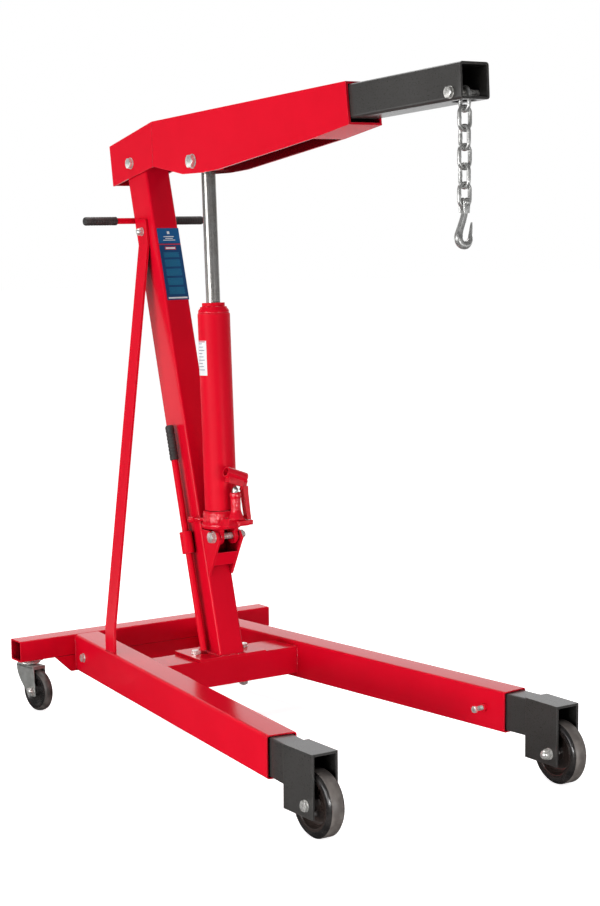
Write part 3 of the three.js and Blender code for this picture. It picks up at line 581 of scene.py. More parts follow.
# ---------- bolts
def through_bolt(node, body, centre, axis, shank, head, nut, dome_nut=False, thread_out=4.5):
    """Bolt along axis: head at the low end, nut and thread at the high end.

    head and nut are (face position along axis, apothem, height) measured from centre;
    face is the surface the head or nut is tightened against. thread_out is in millimetres.
    """
    at = axis_frame(centre, axis)
    bm = bmesh.new()
    head_face, head_apothem, head_height = head
    nut_face, nut_apothem, nut_height = nut
    flipped = at @ Matrix.Rotation(math.pi, 4, "X")
    add_hex(bm, head_apothem, -head_face + WASHER, -head_face + head_height, flipped)
    add_turned(bm, [(shank, head_face - 0.2 * MM), (shank, nut_face)], 24, at, closed=False)
    add_washer(bm, shank, head_apothem * 1.18, -head_face, -head_face + WASHER, flipped)
    add_washer(bm, shank, nut_apothem * 1.18, nut_face, nut_face + WASHER, at)
    nut_top = nut_face + nut_height
    if dome_nut:
        add_hex(bm, nut_apothem, nut_face + WASHER, nut_face + 0.45 * nut_height, at, chamfer_top=False)
        add_dome(bm, nut_apothem * 0.95, nut_face + 0.42 * nut_height, nut_top, at)
    else:
        add_hex(bm, nut_apothem, nut_face + WASHER, nut_top, at, chamfer_bottom=True)
        add_thread(bm, shank, nut_top - 0.5 * MM, nut_top + thread_out * MM, at)
    rebuild(node, bm, body, ZINC, 30.0)


def cross_bolt(node, body, wall, shank, head_apothem, head_height, **style):
    """Bolt across the machine, its head on the right face and its nut on the left face."""
    centre = box_centre(node)
    centre.y = 0.0
    through_bolt(
        node, body, centre, (0, 1, 0), shank,
        (-wall, head_apothem, head_height), (wall, head_apothem, head_height), **style,
    )


def half_width(node):
    low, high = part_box(node)
    return (high.y - low.y) / 2


def machine_bolts():
    boom_wall = half_width("boom") + GAP
    cross_bolt("boom_pivot_bolt", "boom", boom_wall, 9 * MM, 14 * MM, 11 * MM)
    cross_bolt("ram_top_bolt", "boom", boom_wall, 12 * MM, 17 * MM, 13 * MM)
    tube_wall = half_width("boom_extension") + GAP
    cross_bolt("tip_bolt", "boom_slide", tube_wall, 8 * MM, 12.3 * MM, 10 * MM)
    bracket_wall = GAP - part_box("ram_bracket_right")[0].y
    cross_bolt("ram_lower_bolt", "chassis", bracket_wall, 9 * MM, 14.2 * MM, 13 * MM, thread_out=8.0)
    brace_bolt()
    for side in SIDES:
        foot_bolt(side)
        front_axle(side)
        lock_screw(side)
        leg_bolt(side)


def brace_bolt():
    """Bolt at the top of the brace: domed nut on the brace, head on the far side of the mast."""
    centre = box_centre("brace_bolt")
    centre.y = 0.0
    mast_wall = MAST_HALF + 0.05 * MM
    brace_wall = mast_wall + BRACE_THICK + GAP
    through_bolt(
        "brace_bolt", "chassis", centre, (0, -1, 0), 6 * MM,
        (-mast_wall, 10 * MM, 8 * MM), (brace_wall, 10.5 * MM, 18.5 * MM), dome_nut=True,
    )


def foot_bolt(side):
    """Bolt that clamps the mast's foot plate to the cross beam."""
    node = f"foot_bolt_{side}"
    centre = box_centre(node)
    centre.z = 0.0
    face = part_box(node)[1].z - FOOT_HEAD
    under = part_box("cross_beam")[0].z
    through_bolt(
        node, "chassis", centre, (0, 0, -1), 8 * MM,
        (-face, 11 * MM, FOOT_HEAD), (-under, 12 * MM, 21 * MM), thread_out=3.0,
    )


def front_axle(side):
    """Axle bolt through the wheel housing: head on the outer plate, domed nut inside."""
    node = f"front_axle_{side}"
    at = joint_frame(f"front_wheel_roll_{side}")
    outward = at.to_3x3() @ Vector((0, 0, 1))
    if outward.y * Y_SIGN[side] < 0:
        outward = -outward
    reach = HOUSING_HALF + GAP
    through_bolt(
        node, f"extension_{side}", at.translation, -outward, 8 * MM,
        (-reach, 12 * MM, 9 * MM), (reach, 12.6 * MM, 25 * MM), dome_nut=True,
    )


def lock_screw(side):
    """Screw that pins the sliding tube in the leg: welded nut, thread and square-cut head."""
    node = f"leg_lock_screw_{side}"
    at = joint_frame(f"lock_screw_turn_{side}")
    bm = bmesh.new()
    add_hex(bm, 9.4 * MM, 0.3 * MM, 10 * MM, at)
    nut_faces = len(bm.faces)
    add_thread(bm, 6 * MM, -8 * MM, 35 * MM, at)
    add_hex(bm, 8.2 * MM, 34 * MM, 42 * MM, at)
    bm.faces.ensure_lookup_table()
    for face in bm.faces[:nut_faces]:
        face.material_index = 1
    rebuild(node, bm, f"lock_{side}", [ZINC, RED], 30.0)


def leg_frame(side):
    """A leg's direction, its inward direction and its outer rear corner on the floor."""
    axis = Vector(JOINTS[f"leg_extension_slide_{side}"]["axis"])
    screw = Vector(JOINTS[f"lock_screw_turn_{side}"]["pos_m"])
    inward = Vector((axis.y, -axis.x, 0.0)) * Y_SIGN[side]
    origin = screw - axis * SCREW_ALONG_LEG - inward * LEG_WIDTH
    origin.z = 0.0
    return axis, inward, origin


def leg_bolt(side):
    """Bolt head on the outer face of a leg, just ahead of the rear beam."""
    axis, inward, origin = leg_frame(side)
    ahead = 64 * MM
    height = 149 * MM
    at = axis_frame(origin + axis * ahead + Vector((0, 0, height)), -inward)
    bm = bmesh.new()
    add_washer(bm, 4 * MM, 13.5 * MM, 0.0, WASHER, at)
    add_hex(bm, 10.4 * MM, 1.4 * MM, 9 * MM, at)
    piece(f"leg_bolt_{side}", bm, "chassis", ZINC, 30.0)


# ---------- wheels
def front_wheel(side):
    """Cast rim with a smooth recessed web, and a tyre with a flat tread."""
    at = joint_frame(f"front_wheel_roll_{side}")
    body = f"wheel_{side}"
    tread_edge = [(63, 22), (67, 23), (70, 23), (73, 22), (78.4, 16.4), (80, 14)]
    tread = bmesh.new()
    add_turned(tread, mm(mirrored(tread_edge)), 72, at)
    split_materials(tread, at, 79 * MM)
    rebuild(f"front_tyre_{side}", tread, body, [TREAD, SIDEWALL], 50.0)

    web = [
        (8.4, 21.5), (17, 21.5), (19, 19), (21, 8), (27, 5), (40, 4.5),
        (48, 7), (53, 13), (56, 20.5), (58, 21.5), (62.8, 21.5),
    ]
    rim = bmesh.new()
    add_turned(rim, mm(mirrored(web)), 64, at)
    rebuild(f"front_wheel_{side}", rim, body, RIM, 40.0)


# The caster fork: its crown's ends along the trail from the swivel, and its side plates.
FORK_REAR = -34 * MM
FORK_FRONT = 50 * MM
FORK_INNER = 17.2 * MM
FORK_THICK = 3.8 * MM


def caster(side):
    """Swivel caster: plate and ball race, pressed fork, rubber-tyred wheel."""
    swivel = Vector(JOINTS[f"caster_swivel_{side}"]["pos_m"])
    hub = Vector(JOINTS[f"caster_wheel_roll_{side}"]["pos_m"])
    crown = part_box(f"caster_fork_{side}")[1].z
    up = Matrix.Translation(Vector((swivel.x, swivel.y, 0.0)))
    turned = up @ Matrix.Rotation(math.atan2(hub.y - swivel.y, hub.x - swivel.x), 4, "Z")
    trail = math.hypot(hub.x - swivel.x, hub.y - swivel.y)
    caster_plate(side, up)

    fork = bmesh.new()
    for hand in (-1, 1):
        add_fork_leg(fork, turned, trail, hub.z, crown, hand)
    add_fork_crown(fork, turned, crown)
    body = f"caster_{side}"
    rebuild(f"caster_fork_{side}", fork, body, ZINC_DULL, 40.0)

    wall = FORK_INNER + FORK_THICK + GAP
    axle = turned.to_3x3() @ Vector((0, 1, 0))
    through_bolt(
        f"caster_axle_{side}", body, hub, -axle, 6 * MM,
        (-wall, 8.8 * MM, 8 * MM), (wall, 11.5 * MM, 17 * MM), dome_nut=True,
    )
    caster_wheel(side, hub, axle)


def caster_plate(side, up):
    """Rounded top plate with the dished ball race under it."""
    node = f"caster_plate_{side}"
    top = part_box(node)[1].z
    plate = bmesh.new()
    rings = []
    for inset, height in ((0.8, -4.0), (0.0, -3.2), (0.0, -0.6), (0.6, 0.0)):
        outline = rounded_outline((54 - 2 * inset) * MM, (68 - 2 * inset) * MM, 7 * MM, 5)
        rings.append([up @ Vector((x, y, top + height * MM)) for x, y in outline])
    add_faces(plate, rings, caps=True)
    race = [(8, 3.5), (31, 3.5), (32.5, 5), (33, 7.5), (31.5, 10), (27, 12), (20, 12.6), (8, 12.6)]
    add_turned(plate, [(r * MM, top - drop * MM) for r, drop in race], 40, up)
    rebuild(node, plate, "chassis", ZINC)


def add_fork_leg(bm, at, trail, hub_z, crown, hand):
    """One pressed side of the caster fork: wide at the crown, its rear edge curving down to the axle."""
    rings = []
    rows = 12
    low_back = trail - 22 * MM
    low_front = trail + 12 * MM
    low_z = hub_z - 12 * MM
    for i in range(rows + 1):
        t = i / rows
        z = crown - 2 * MM + (low_z - crown) * t
        ease = max(0.0, (t - 0.12) / 0.88) ** 1.7
        back = FORK_REAR + (low_back - FORK_REAR) * min(1.0, ease * 1.05)
        front = FORK_FRONT + (low_front - FORK_FRONT) * t
        rings.append(fork_section(at, back, front, z, hand))
    for i in range(1, 4):
        drop = i / 3
        shrink = 9 * MM * (1 - math.sqrt(1 - 0.8 * drop * drop))
        back = low_back + 1.6 * shrink
        rings.append(fork_section(at, back, low_front - shrink, low_z - 1.5 * MM * i, hand))
    add_faces(bm, rings, caps=True)


def fork_section(at, back, front, z, hand):
    """Level section of one fork side: a flat strip with a rolled front edge."""
    near = hand * FORK_INNER
    far = hand * (FORK_INNER + FORK_THICK)
    roll = hand * 0.8 * MM
    lip = 2.2 * MM
    points = [
        (back, near), (front - lip, near), (front, near + roll),
        (front, far - roll), (front - lip, far), (back + 0.8 * MM, far), (back, far - roll),
    ]
    if hand < 0:
        points.reverse()
    return [at @ Vector((x, y, z)) for x, y in points]


def add_fork_crown(bm, at, crown):
    """Top of the fork: a plate bent over from side to side, with rolled shoulders."""
    reach = (FORK_INNER + FORK_THICK) / MM
    rear, front = FORK_REAR / MM, FORK_FRONT / MM
    outer = [(reach, -7), (reach, -3), (reach - 1.2, -1.2), (reach - 3, 0)]
    inner = [(reach - 3.6, -4), (reach - 3.6, -7)]
    section = [(-y, z) for y, z in outer] + outer[::-1] + inner[::-1] + [(-y, z) for y, z in inner]
    lifted = at @ Matrix.Translation((0, 0, crown))
    rings = [
        [lifted @ (Vector((x, y, z)) * MM) for y, z in section]
        for x in (rear, rear + 1.5, front - 1.5, front)
    ]
    add_faces(bm, rings, caps=True)
    add_block(bm, lifted, front - 3.2, front - 0.3, 1 - reach, reach - 1, -9.5, -0.5)


def caster_wheel(side, hub, axle):
    """Caster wheel: domed hub, recessed face and a rounded tread."""
    at = axis_frame(hub, axle)
    face = [
        (6.4, 14.5), (13, 14.5), (15, 12), (16, 7), (34, 6.5), (38, 9), (41, 12.5), (45, 13.6),
        (51, 13.2), (55, 11.5), (58.2, 8.5), (59.6, 4.5), (60, 0),
    ]
    bm = bmesh.new()
    add_turned(bm, mm(mirrored(face)), 64, at)
    split_materials(bm, at, 50 * MM)
    materials = [CASTER_RUBBER, SIDEWALL]
    rebuild(f"caster_wheel_{side}", bm, f"caster_roll_{side}", materials, 50.0)


def rounded_outline(width, height, radius, steps):
    points = []
    for sx, sy, start in ((1, 1, 0), (-1, 1, 90), (-1, -1, 180), (1, -1, 270)):
        for i in range(steps + 1):
            a = math.radians(start + 90 * i / steps)
            points.append((
                sx * (width / 2 - radius) + radius * math.cos(a),
                sy * (height / 2 - radius) + radius * math.sin(a),
            ))
    return points


# ---------- chain and hook
def chain():
    """Welded links: round wire, a small flash where each link was closed."""
    forward, left = Vector((1, 0, 0)), Vector((0, 1, 0))
    for index in range(1, 7):
        node = f"chain_link_{index}"
        flat = index % 2 == 1
        path, radii = link_path(box_centre(node), forward if flat else left)
        bm = bmesh.new()
        add_sweep(bm, path, radii, -left if flat else forward, 18, closed=True)
        rebuild(node, bm, f"link_{index}", ZINC_BRIGHT, 60.0)


def link_path(centre, across):
    """Middle line of one link and the wire's radius along it."""
    wire = 4.75 * MM
    bend = 15.4 * MM
    straight = 11.1 * MM
    steps = 14
    path, radii = [], []

    def lay(along, height, radius):
        path.append(centre + across * along + Vector((0, 0, height)))
        radii.append(radius)

    for start, lift, hand in ((0, straight, -1), (180, -straight, 1)):
        for k in range(steps + 1):
            a = math.radians(start + 180 * k / steps)
            lay(bend * math.cos(a), lift + bend * math.sin(a), wire)
        for k in range(1, 4):
            flash = 1.1 if (k == 2 and hand < 0) else 1.0
            lay(hand * bend, lift * (1 - k / 2), wire * flash)
    return path, radii


def hook():
    """Forged grab hook: clevis and pin above, ribbed shank, thick bowl, pointed tip."""
    pin = Vector(JOINTS["hook_swing"]["pos_m"])
    rows = hook_rows()
    rings = []
    for i, (y, z, wide, thick) in enumerate(rows):
        before = rows[max(i - 1, 0)]
        after = rows[min(i + 1, len(rows) - 1)]
        along = Vector((0, after[0] - before[0], after[1] - before[1])).normalized()
        groove = 2.2 if i < 7 else 0.0
        rings.append([
            pin + (Vector((0, y, z)) + local) * MM
            for local in hook_section(along, wide, thick, groove)
        ])
    bm = bmesh.new()
    add_faces(bm, rings, caps=True)
    for hand in (-1, 1):
        add_clevis_ear(bm, pin, hand)
    rebuild("hook", bm, "hook", ZINC_BRIGHT, 50.0)

    pin_bm = bmesh.new()
    at = axis_frame(pin, (1, 0, 0))
    add_turned(pin_bm, mm([(4.9, -15), (4.9, 12)]), 24, at, closed=False)
    add_dome(pin_bm, 7.5 * MM, 11.4 * MM, 16 * MM, at)
    add_washer(pin_bm, 4.5 * MM, 6.4 * MM, -14.2 * MM, -12.0 * MM, at)
    rebuild("hook_pin", pin_bm, "hook", ZINC_BRIGHT, 40.0)


def hook_rows():
    """Stations down the hook: left and up from the pin, half width and half thickness, in mm."""
    rows = [
        (1.0, -20, 7.5, 6.5), (-1.0, -30, 8.0, 6.5), (-4.5, -41, 8.2, 6.5),
        (-9.0, -52, 8.2, 6.8), (-13.0, -62, 8.4, 7.2), (-16.0, -71, 9.0, 8.0),
    ]
    for i in range(15):
        a = math.radians(165 + 210 * i / 14)
        fat = 9.6 if i < 9 else 9.6 - 0.9 * (i - 8)
        rows.append((17.5 * math.cos(a), -80 + 18 * math.sin(a), fat, fat * 0.92))
    return rows + [(18.6, -68, 4.0, 3.8), (19.6, -58, 3.2, 3.2), (21.0, -46, 1.8, 2.0)]


def hook_section(along, wide, thick, groove):
    """Squared oval across the hook, with a groove down both flat faces."""
    across = along.cross(Vector((1, 0, 0)))
    section = []
    for k in range(20):
        a = 2 * math.pi * k / 20
        u, v = math.cos(a), math.sin(a)
        depth = thick - groove * max(0.0, 1 - (u / 0.55) ** 2)
        flat = across * (wide * math.copysign(abs(u) ** 0.8, u))
        section.append(flat + Vector((depth * math.copysign(abs(v) ** 0.8, v), 0, 0)))
    return section


def add_clevis_ear(bm, pin, hand):
    """One rounded ear of the hook's clevis."""
    near, far = 5.4, 10.8
    outline = []
    for i in range(13):
        a = math.radians(-20 + 220 * i / 12)
        outline.append((10 * math.cos(a), 1 + 9.5 * math.sin(a)))
    outline += [(-9.0, -12), (-7.5, -25), (7.5, -25), (9.0, -12)]
    rings = []
    for x, inset in ((near, 0.9), (near + 0.9, 1.0), (far - 1.2, 1.0), (far, 0.86)):
        rings.append([
            pin + Vector((hand * x, y * inset, z * inset if z > 0 else z)) * MM
            for y, z in outline
        ])
    if hand < 0:
        rings.reverse()
    add_faces(bm, rings, caps=True)


# ---------- grips
def push_grips():
    """Moulded sleeves on the push handle, ribbed where fingers go."""
    for side in SIDES:
        node = f"push_grip_{side}"
        low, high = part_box(node)
        centre = (low + high) / 2
        sign = Y_SIGN[side]
        start = (centre.x, sign * min(abs(low.y), abs(high.y)), centre.z)
        bm = grip_mesh(axis_frame(start, (0, sign, 0)), high.y - low.y, 12.3 * MM, 8.9 * MM)
        rebuild(node, bm, "chassis", GRIP, 40.0)


def grip_mesh(at, length, radius, bore, ribs=9):
    """Sleeve from 0 to length along local Z: ribbed outside, bored, closed at its far end."""
    profile = [(bore, 0.0), (radius - 1.2 * MM, 0.0), (radius, 1.4 * MM)]
    start = 0.12 * length
    step = 0.74 * length / ribs
    valley = radius - 0.9 * MM
    for i in range(ribs):
        base = start + step * i
        profile += [
            (radius, base), (valley, base + 0.12 * step),
            (valley, base + 0.38 * step), (radius, base + 0.5 * step),
        ]
    profile += [
        (radius, length - 5 * MM), (radius - 1.5 * MM, length - 1.6 * MM),
        (radius - 4 * MM, length), (2 * MM, length), (2 * MM, length - 4.2 * MM),
        (bore, length - 4.2 * MM),
    ]
    bm = bmesh.new()
    add_turned(bm, profile, 32, at)
    return bm


def pump_grip():
    """Rubber grip on the stored pump handle."""
    node = "pump_handle_grip"
    axis = Vector(JOINTS["stored_handle_slide"]["axis"])
    length = 100 * MM
    at = axis_frame(box_centre(node) - axis * (length / 2), axis, (1, 0, 0))
    bm = grip_mesh(at, length, 12.5 * MM, 9.8 * MM, ribs=7)
    rebuild(node, bm, "stored_handle", GRIP, 40.0)


# ---------- welds, seams and the boom's tail plate
def weld_bead(name, body, path, normal, radius):
    """Bead of overlapping ripples laid along a path in a corner."""
    points, radii = [], []
    step = 1.6 * MM
    travelled = 0.0
    for start, end in zip(path, path[1:]):
        start, end = Vector(start), Vector(end)
        length = (end - start).length
        count = max(int(length / step), 1)
        for i in range(count):
            at = start.lerp(end, i / count)
            ripple = 0.14 * math.sin(travelled / (1.1 * MM))
            swell = 0.18 * noise(at * 160.0)
            points.append(at)
            radii.append(radius * (1 + ripple + swell))
            travelled += length / count
    points.append(Vector(path[-1]))
    radii.append(radius * 0.7)
    radii[0] = radius * 0.7
    bm = bmesh.new()
    add_sweep(bm, points, radii, Vector(normal).normalized(), 8)
    piece(name, bm, body, WELD, 60.0)


def cross_welds(side):
    """Beads round the end of the cross beam, on the inner face of one leg."""
    low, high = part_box("cross_beam")
    axis, inward, origin = leg_frame(side)
    inner = origin + inward * LEG_WIDTH

    def on_inner(x, z):
        point = inner + axis * ((x - inner.x) / axis.x)
        point.z = z
        return point

    top = high.z - 1 * MM
    beads = (
        ((1, 0, 0), on_inner(low.x, low.z), on_inner(low.x, high.z)),
        ((0, 0, 1), on_inner(low.x + 3 * MM, top), on_inner(high.x - 3 * MM, top)),
        ((1, 0, 0), on_inner(high.x, high.z), on_inner(high.x, low.z)),
    )
    for i, (normal, start, end) in enumerate(beads, start=1):
        weld_bead(f"weld_cross_{side}_{i}", "chassis", [start, end], normal, 1.8 * MM)


def rear_weld(side):
    """Upright bead in the corner between the rear beam and the outer face of one leg."""
    axis, _, origin = leg_frame(side)
    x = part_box("rear_beam")[1].x
    y = (origin + axis * ((x - origin.x) / axis.x)).y
    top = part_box(f"leg_{side}")[1].z
    path = [(x, y, top - 4 * MM), (x, y, top - 100 * MM)]
    weld_bead(f"weld_rear_{side}", "chassis", path, (1, 0, 0), 2.2 * MM)


def brace_weld():
    """Bead along the brace's foot, on top of the right leg."""
    low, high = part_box("brace")
    y = low.y + 0.5 * MM
    path = [(high.x - 50 * MM, y, low.z), (high.x, y, low.z)]
    weld_bead("weld_brace", "chassis", path, (0, 0, 1), 2.2 * MM)


def boom_seams():
    """Shallow seams where the boom's side plates bend, between its two bolts."""
    half = half_width("boom")
    pivot = Vector(JOINTS["boom_pivot"]["pos_m"])
    for side in SIDES:
        seam = [pivot + Vector((124, 0, 112)) * MM, pivot + Vector((128, 0, -16)) * MM]
        for point in seam:
            point.y = Y_SIGN[side] * half
        weld_bead(f"boom_seam_{side}", "boom", seam, (1, 0, 0), 0.9 * MM)


def boom_tail_plate():
    """Plate that closes the rear end of the boom between its side plates."""
    pivot = Vector(JOINTS["boom_pivot"]["pos_m"])
    half = 44.2 * MM
    low_edge = pivot + Vector((-107, 0, -63)) * MM
    high_edge = pivot + Vector((-125.6, 0, 45)) * MM
    inward = Vector((4, 0, 0.7)) * MM
    outline = (low_edge, high_edge, high_edge + inward, low_edge + inward)
    bm = bmesh.new()
    rings = [[edge + Vector((0, y, 0)) for edge in outline] for y in (-half, half)]
    add_faces(bm, rings, caps=True)
    piece("boom_tail_plate", bm, "boom", RED_BOOM, 30.0)


def mast_frame():
    """The mast's outward and upward directions, and the top middle of its front face."""
    up = Vector(JOINTS["stored_handle_slide"]["axis"])
    out = Vector((up.z, 0, -up.x))
    low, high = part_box("mast")
    return out, up, Vector((low.x + MAST_DEPTH / up.z, 0, high.z))


def mast_weld():
    """Bead round the foot of the mast."""
    out, up, face = mast_frame()
    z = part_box("foot_bolt_right")[1].z - FOOT_HEAD - GAP
    half = MAST_HALF - 0.25 * MM
    front = (face + up * ((z - face.z) / up.z)).x
    back = front - MAST_DEPTH / out.x
    corners = [(front, -half), (front, half), (back, half), (back, -half), (front, -half)]
    loop = [(x, y, z) for x, y in corners]
    weld_bead("weld_mast_foot", "chassis", loop, (0, 0, 1), 3.2 * MM)


# ---------- jack base
def ram_frame():
    """The jack upright: X forward, Y left, Z along the ram, zero level with the lower bolt."""
    slide = Vector(JOINTS["rod_slide"]["axis"])
    forward = Vector((slide.z, 0, -slide.x))
    foot = Vector(JOINTS["ram_swing"]["pos_m"]) - forward * RAM_PIN_AHEAD
    return Matrix.Translation(foot) @ Matrix((forward, (0, 1, 0), slide)).transposed().to_4x4()


def jack_base():
    """Sand-cast base: round collar, pump foot, pump barrel and two lugs, grown into one skin."""
    at = ram_frame()
    bm = bmesh.new()
    add_jack_collar(bm, at)
    add_block(bm, at, 20, 91, -34, 34, 32, 53.5, taper=9.0)
    add_block(bm, at, 58, 94, 0, 46, 34, 47.5)
    barrel = [
        (10.4, 53), (22, 53), (19.5, 61), (16, 70), (14, 78), (14, 112),
        (16, 114), (16, 124), (14.5, 127), (10.4, 127),
    ]
    add_turned(bm, mm(barrel), 40, at @ Matrix.Translation((78 * MM, 0, 0)))
    for y in (-23, 23):
        lug = at @ Matrix.Translation((RAM_PIN_AHEAD, y * MM, 0)) @ Matrix.Rotation(math.pi / 2, 4, "X")
        ring = [(10.4, -6), (22, -6), (23, -5), (23, 5), (22, 6), (10.4, 6)]
        add_turned(bm, mm(ring), 40, lug)
        add_block(bm, at, -4, 42, y - 6, y + 6, 13, 26)
    cast_skin(rebuild("ram_base", bm, "ram", RED_CAST, 60.0))


def add_jack_collar(bm, at):
    """Solid collar under the cylinder, cut flat at the back so that it clears the mast."""
    collar = [
        (0.5, 22), (50, 22), (54.5, 25), (56, 29), (55.5, 35), (53, 41),
        (51.5, 50), (51, 66), (50, 70), (48, 72.5), (0.5, 72.5),
    ]
    add_turned(bm, mm(collar), 64, at, closed=False)
    for vert in bm.verts:
        local = at.inverted() @ vert.co
        wall = -43 * MM - max(0.0, local.z - 28 * MM) * 0.2
        if local.x < wall:
            local.x = wall
            vert.co = at @ local


def cast_skin(obj):
    """Joins overlapping solids into one skin with soft corners and the lumps of sand casting."""
    lumps = bpy.data.textures.new("casting_lumps", "CLOUDS")
    lumps.noise_scale = 8 * MM
    lumps.noise_depth = 2
    modify(obj, "one_skin", "REMESH", mode="VOXEL", voxel_size=1.6 * MM, use_smooth_shade=True)
    modify(obj, "soft_corners", "SMOOTH", factor=0.5, iterations=4)
    modify(
        obj, "casting_skin", "DISPLACE", texture=lumps, texture_coords="LOCAL",
        strength=1.4 * MM, mid_level=0.5,
    )


# ---------- labels and the gland
def sheet(bm, centre, across, up, out, rects):
    """Flat rectangles (u0, u1, v0, v1, lift, material) laid on a face, each a thin raised pad."""
    for u0, u1, v0, v1, lift, material in rects:
        corners = [(u0, v0), (u1, v0), (u1, v1), (u0, v1)]
        low = [centre + across * (u * MM) + up * (v * MM) for u, v in corners]
        high = [point + out * (lift * MM) for point in low]
        add_faces(bm, [low, high], caps=True, material=material)


def mast_label():
    """Blue instruction label on the mast: a header, rules and rows of unreadable fine print."""
    out, up, anchor = mast_frame()
    across = Vector((0, 1, 0))
    middle = 1283.5 * MM
    centre = anchor + up * ((middle - anchor.z) / up.z) + across * (3 * MM)
    materials = [LABEL_NAVY, LABEL_WHITE, LABEL_RED, LABEL_TEAL, LABEL_BLUE]
    navy, white, red, teal, blue = range(5)
    rects = [
        (-36, 36, -105.5, 105.5, 0.25, navy),
        (-36, 36, 62, 105.5, 0.3, blue),
        (-36, 36, 56, 59.5, 0.35, red),
        (-31, 31, -101.5, -97, 0.35, white),
        (-17, 17, 79, 81.5, 0.35, white),
        (-12, 12, 74, 76, 0.35, white),
        (-20, 20, 69, 71, 0.35, white),
        (-4, 4, 88, 96, 0.35, white),
        (-18, 18, 42, 51, 0.35, red),
        (-15.5, 15.5, 44, 49, 0.4, white),
    ]
    for row, v in enumerate(range(-88, 34, 3), start=1):
        if row % 9 in (0, 8):
            continue
        width = 25 + 3.5 * noise(Vector((0.0, v * 0.37, 2.0)))
        rects.append((-width, width, v, v + 1.3, 0.3, teal))
    bm = bmesh.new()
    sheet(bm, centre, across, up, out, rects)
    piece("mast_label", bm, "chassis", materials, 30.0)


def gland_shoulder():
    """Rounded shoulder where the jack's gland is screwed into the cylinder."""
    profile = [
        (32.3, 628.3), (43, 622.5), (43.4, 627), (42, 631),
        (38.5, 634.5), (37.5, 638), (36.5, 639.5), (32.3, 640),
    ]
    bm = bmesh.new()
    add_turned(bm, mm(profile), 48, ram_frame())
    piece("gland_shoulder", bm, "ram", RED, 60.0)


def cylinder_label():
    """White data label wrapped on the right side of the jack's cylinder."""
    at = ram_frame()
    radius = 45.7
    bottom, top = 450, 546
    bm = bmesh.new()

    def strip(a0, a1, h0, h1, lift, material):
        """Patch from angle a0 to a1 (0 is straight right) and height h0 to h1, in mm."""
        rows = []
        for h in (h0, h1):
            turns = [math.radians(a0 + (a1 - a0) * i / 8) for i in range(9)]
            reach = radius + lift
            rows.append([
                at @ (Vector((reach * math.sin(a), -reach * math.cos(a), h)) * MM) for a in turns
            ])
        add_faces(bm, rows, close_ring=False, material=material)

    white, navy, red = range(3)
    strip(-27, 27, bottom, top, 0.15, white)
    for i in range(9):
        h = top - 9 - 9 * i
        strip(-21, 8 + 5 * (i % 3), h, h + 1.5, 0.3, navy)
    strip(-22, 22, top - 4, top - 1.5, 0.3, red)
    piece("cylinder_label", bm, "ram", [LABEL_WHITE, LABEL_NAVY, LABEL_RED], 60.0)


# ---------- stage, lights, camera
CAMERA_YAW = 0.97734  # radians; 0 looks square at the right side, more moves to the front


def floor():
    """White floor: bright to the camera, dark in reflections, glowing toward the horizon."""
    material, tree, shader, coords = new_material("floor_white")
    seen = add_node(tree, "LightPath").outputs
    by_camera = seen["Is Camera Ray"]
    near = mix_colour(tree, seen["Is Glossy Ray"], (0.80, 0.80, 0.80), (0.06, 0.06, 0.06))
    distance = add_node(tree, "VectorMath", {0: coords}, operation="LENGTH").outputs["Value"]
    far = remap(tree, distance, 3.0, 8.0, 0.0, 1.4)
    fill(tree, shader, {
        "Base Color": mix_colour(tree, by_camera, near, (0.9, 0.9, 0.9)),
        "Roughness": 0.8,
        "Specular IOR Level": 0.0,
        "Emission Color": (1.0, 1.0, 1.0, 1.0),
        "Emission Strength": by_ray(tree, by_camera, far, 0.82),
    })
    bm = bmesh.new()
    bmesh.ops.create_grid(bm, x_segments=1, y_segments=1, size=30.0)
    mesh_object("floor", bm, [material])


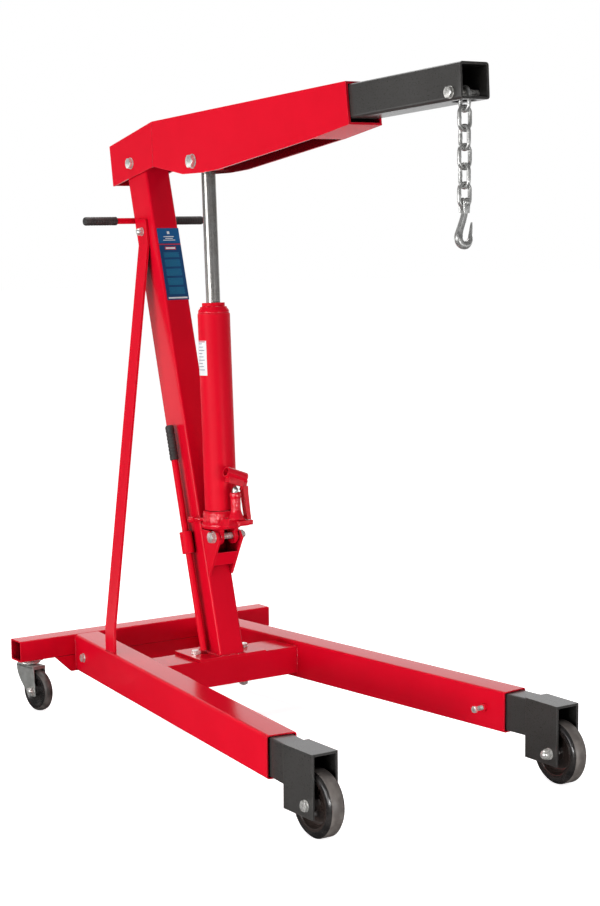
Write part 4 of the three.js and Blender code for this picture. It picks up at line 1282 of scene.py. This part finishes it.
def world():
    """White studio: plain white to the camera. It lights the hoist mostly from behind, as the
    camera sees it, so that faces turned to the camera read deeper."""
    scene = bpy.context.scene
    scene.world = bpy.data.worlds.new("studio")
    scene.world.use_nodes = True
    tree = scene.world.node_tree
    from_camera = (-math.sin(CAMERA_YAW), math.cos(CAMERA_YAW), 0.0)
    ray = add_node(tree, "TexCoord").outputs["Generated"]
    facing = add_node(tree, "VectorMath", {0: ray, 1: from_camera}, operation="DOT_PRODUCT")
    shade = remap(tree, facing.outputs["Value"], 0.55, 0.97, 0.16, 1.25)
    by_camera = add_node(tree, "LightPath").outputs["Is Camera Ray"]
    fill(tree, tree.nodes["Background"], {
        "Color": (1.0, 1.0, 1.0, 1.0),
        "Strength": by_ray(tree, by_camera, shade, 1.0),
    })


def area_light(name, position, target, size, power, spread=180.0):
    data = bpy.data.lights.new(name, "AREA")
    data.spread = math.radians(spread)
    data.shape = "RECTANGLE"
    data.size, data.size_y = size
    data.energy = power
    obj = add_object(name, data)
    obj.location = position
    direction = Vector(target) - Vector(position)
    obj.rotation_mode = "QUATERNION"
    obj.rotation_quaternion = direction.to_track_quat("-Z", "Y")


def lights():
    area_light("key", (0.3, -4.5, 0.95), (0.0, 0.0, 0.7), (2.4, 1.9), 97.0)
    area_light("fill", (2.6, -3.9, 0.45), (0.5, 0.3, 0.05), (0.8, 0.5), 5.0, spread=50.0)
    area_light("side", (4.4, 0.3, 0.3), (0.0, 0.0, 0.05), (1.2, 0.6), 5.5, spread=50.0)
    area_light("top", (-1.1, 0.0, 4.2), (-0.2, 0.0, 0.0), (3.0, 3.0), 110.0)


def camera():
    """Portrait camera ahead and to the right of the hoist, 1.42 m up."""
    data = bpy.data.cameras.new("camera")
    data.sensor_width = 36.0
    data.lens = 76.62
    obj = add_object("camera", data)
    yaw, pitch, roll = CAMERA_YAW, 0.12309, -0.007777
    back = Vector((math.sin(yaw) * math.cos(pitch), -math.cos(yaw) * math.cos(pitch), math.sin(pitch)))
    right = Vector((math.cos(yaw), math.sin(yaw), 0.0))
    up = back.cross(right)
    turned_right = right * math.cos(roll) + up * math.sin(roll)
    turned_up = up * math.cos(roll) - right * math.sin(roll)
    turn = Matrix((turned_right, turned_up, back)).transposed().to_4x4()
    obj.matrix_world = Matrix.Translation((4.2476, -2.7990, 1.4211)) @ turn
    bpy.context.scene.camera = obj
    bpy.context.scene.view_settings.view_transform = "Standard"


# ---------- assembly
dress_frame()
machine_bolts()
for side in SIDES:
    front_wheel(side)
    caster(side)
chain()
hook()
push_grips()
pump_grip()
for side in SIDES:
    cross_welds(side)
    rear_weld(side)
brace_weld()
boom_seams()
boom_tail_plate()
mast_weld()
mast_label()
jack_base()
gland_shoulder()
cylinder_label()
floor()
world()
lights()
camera()
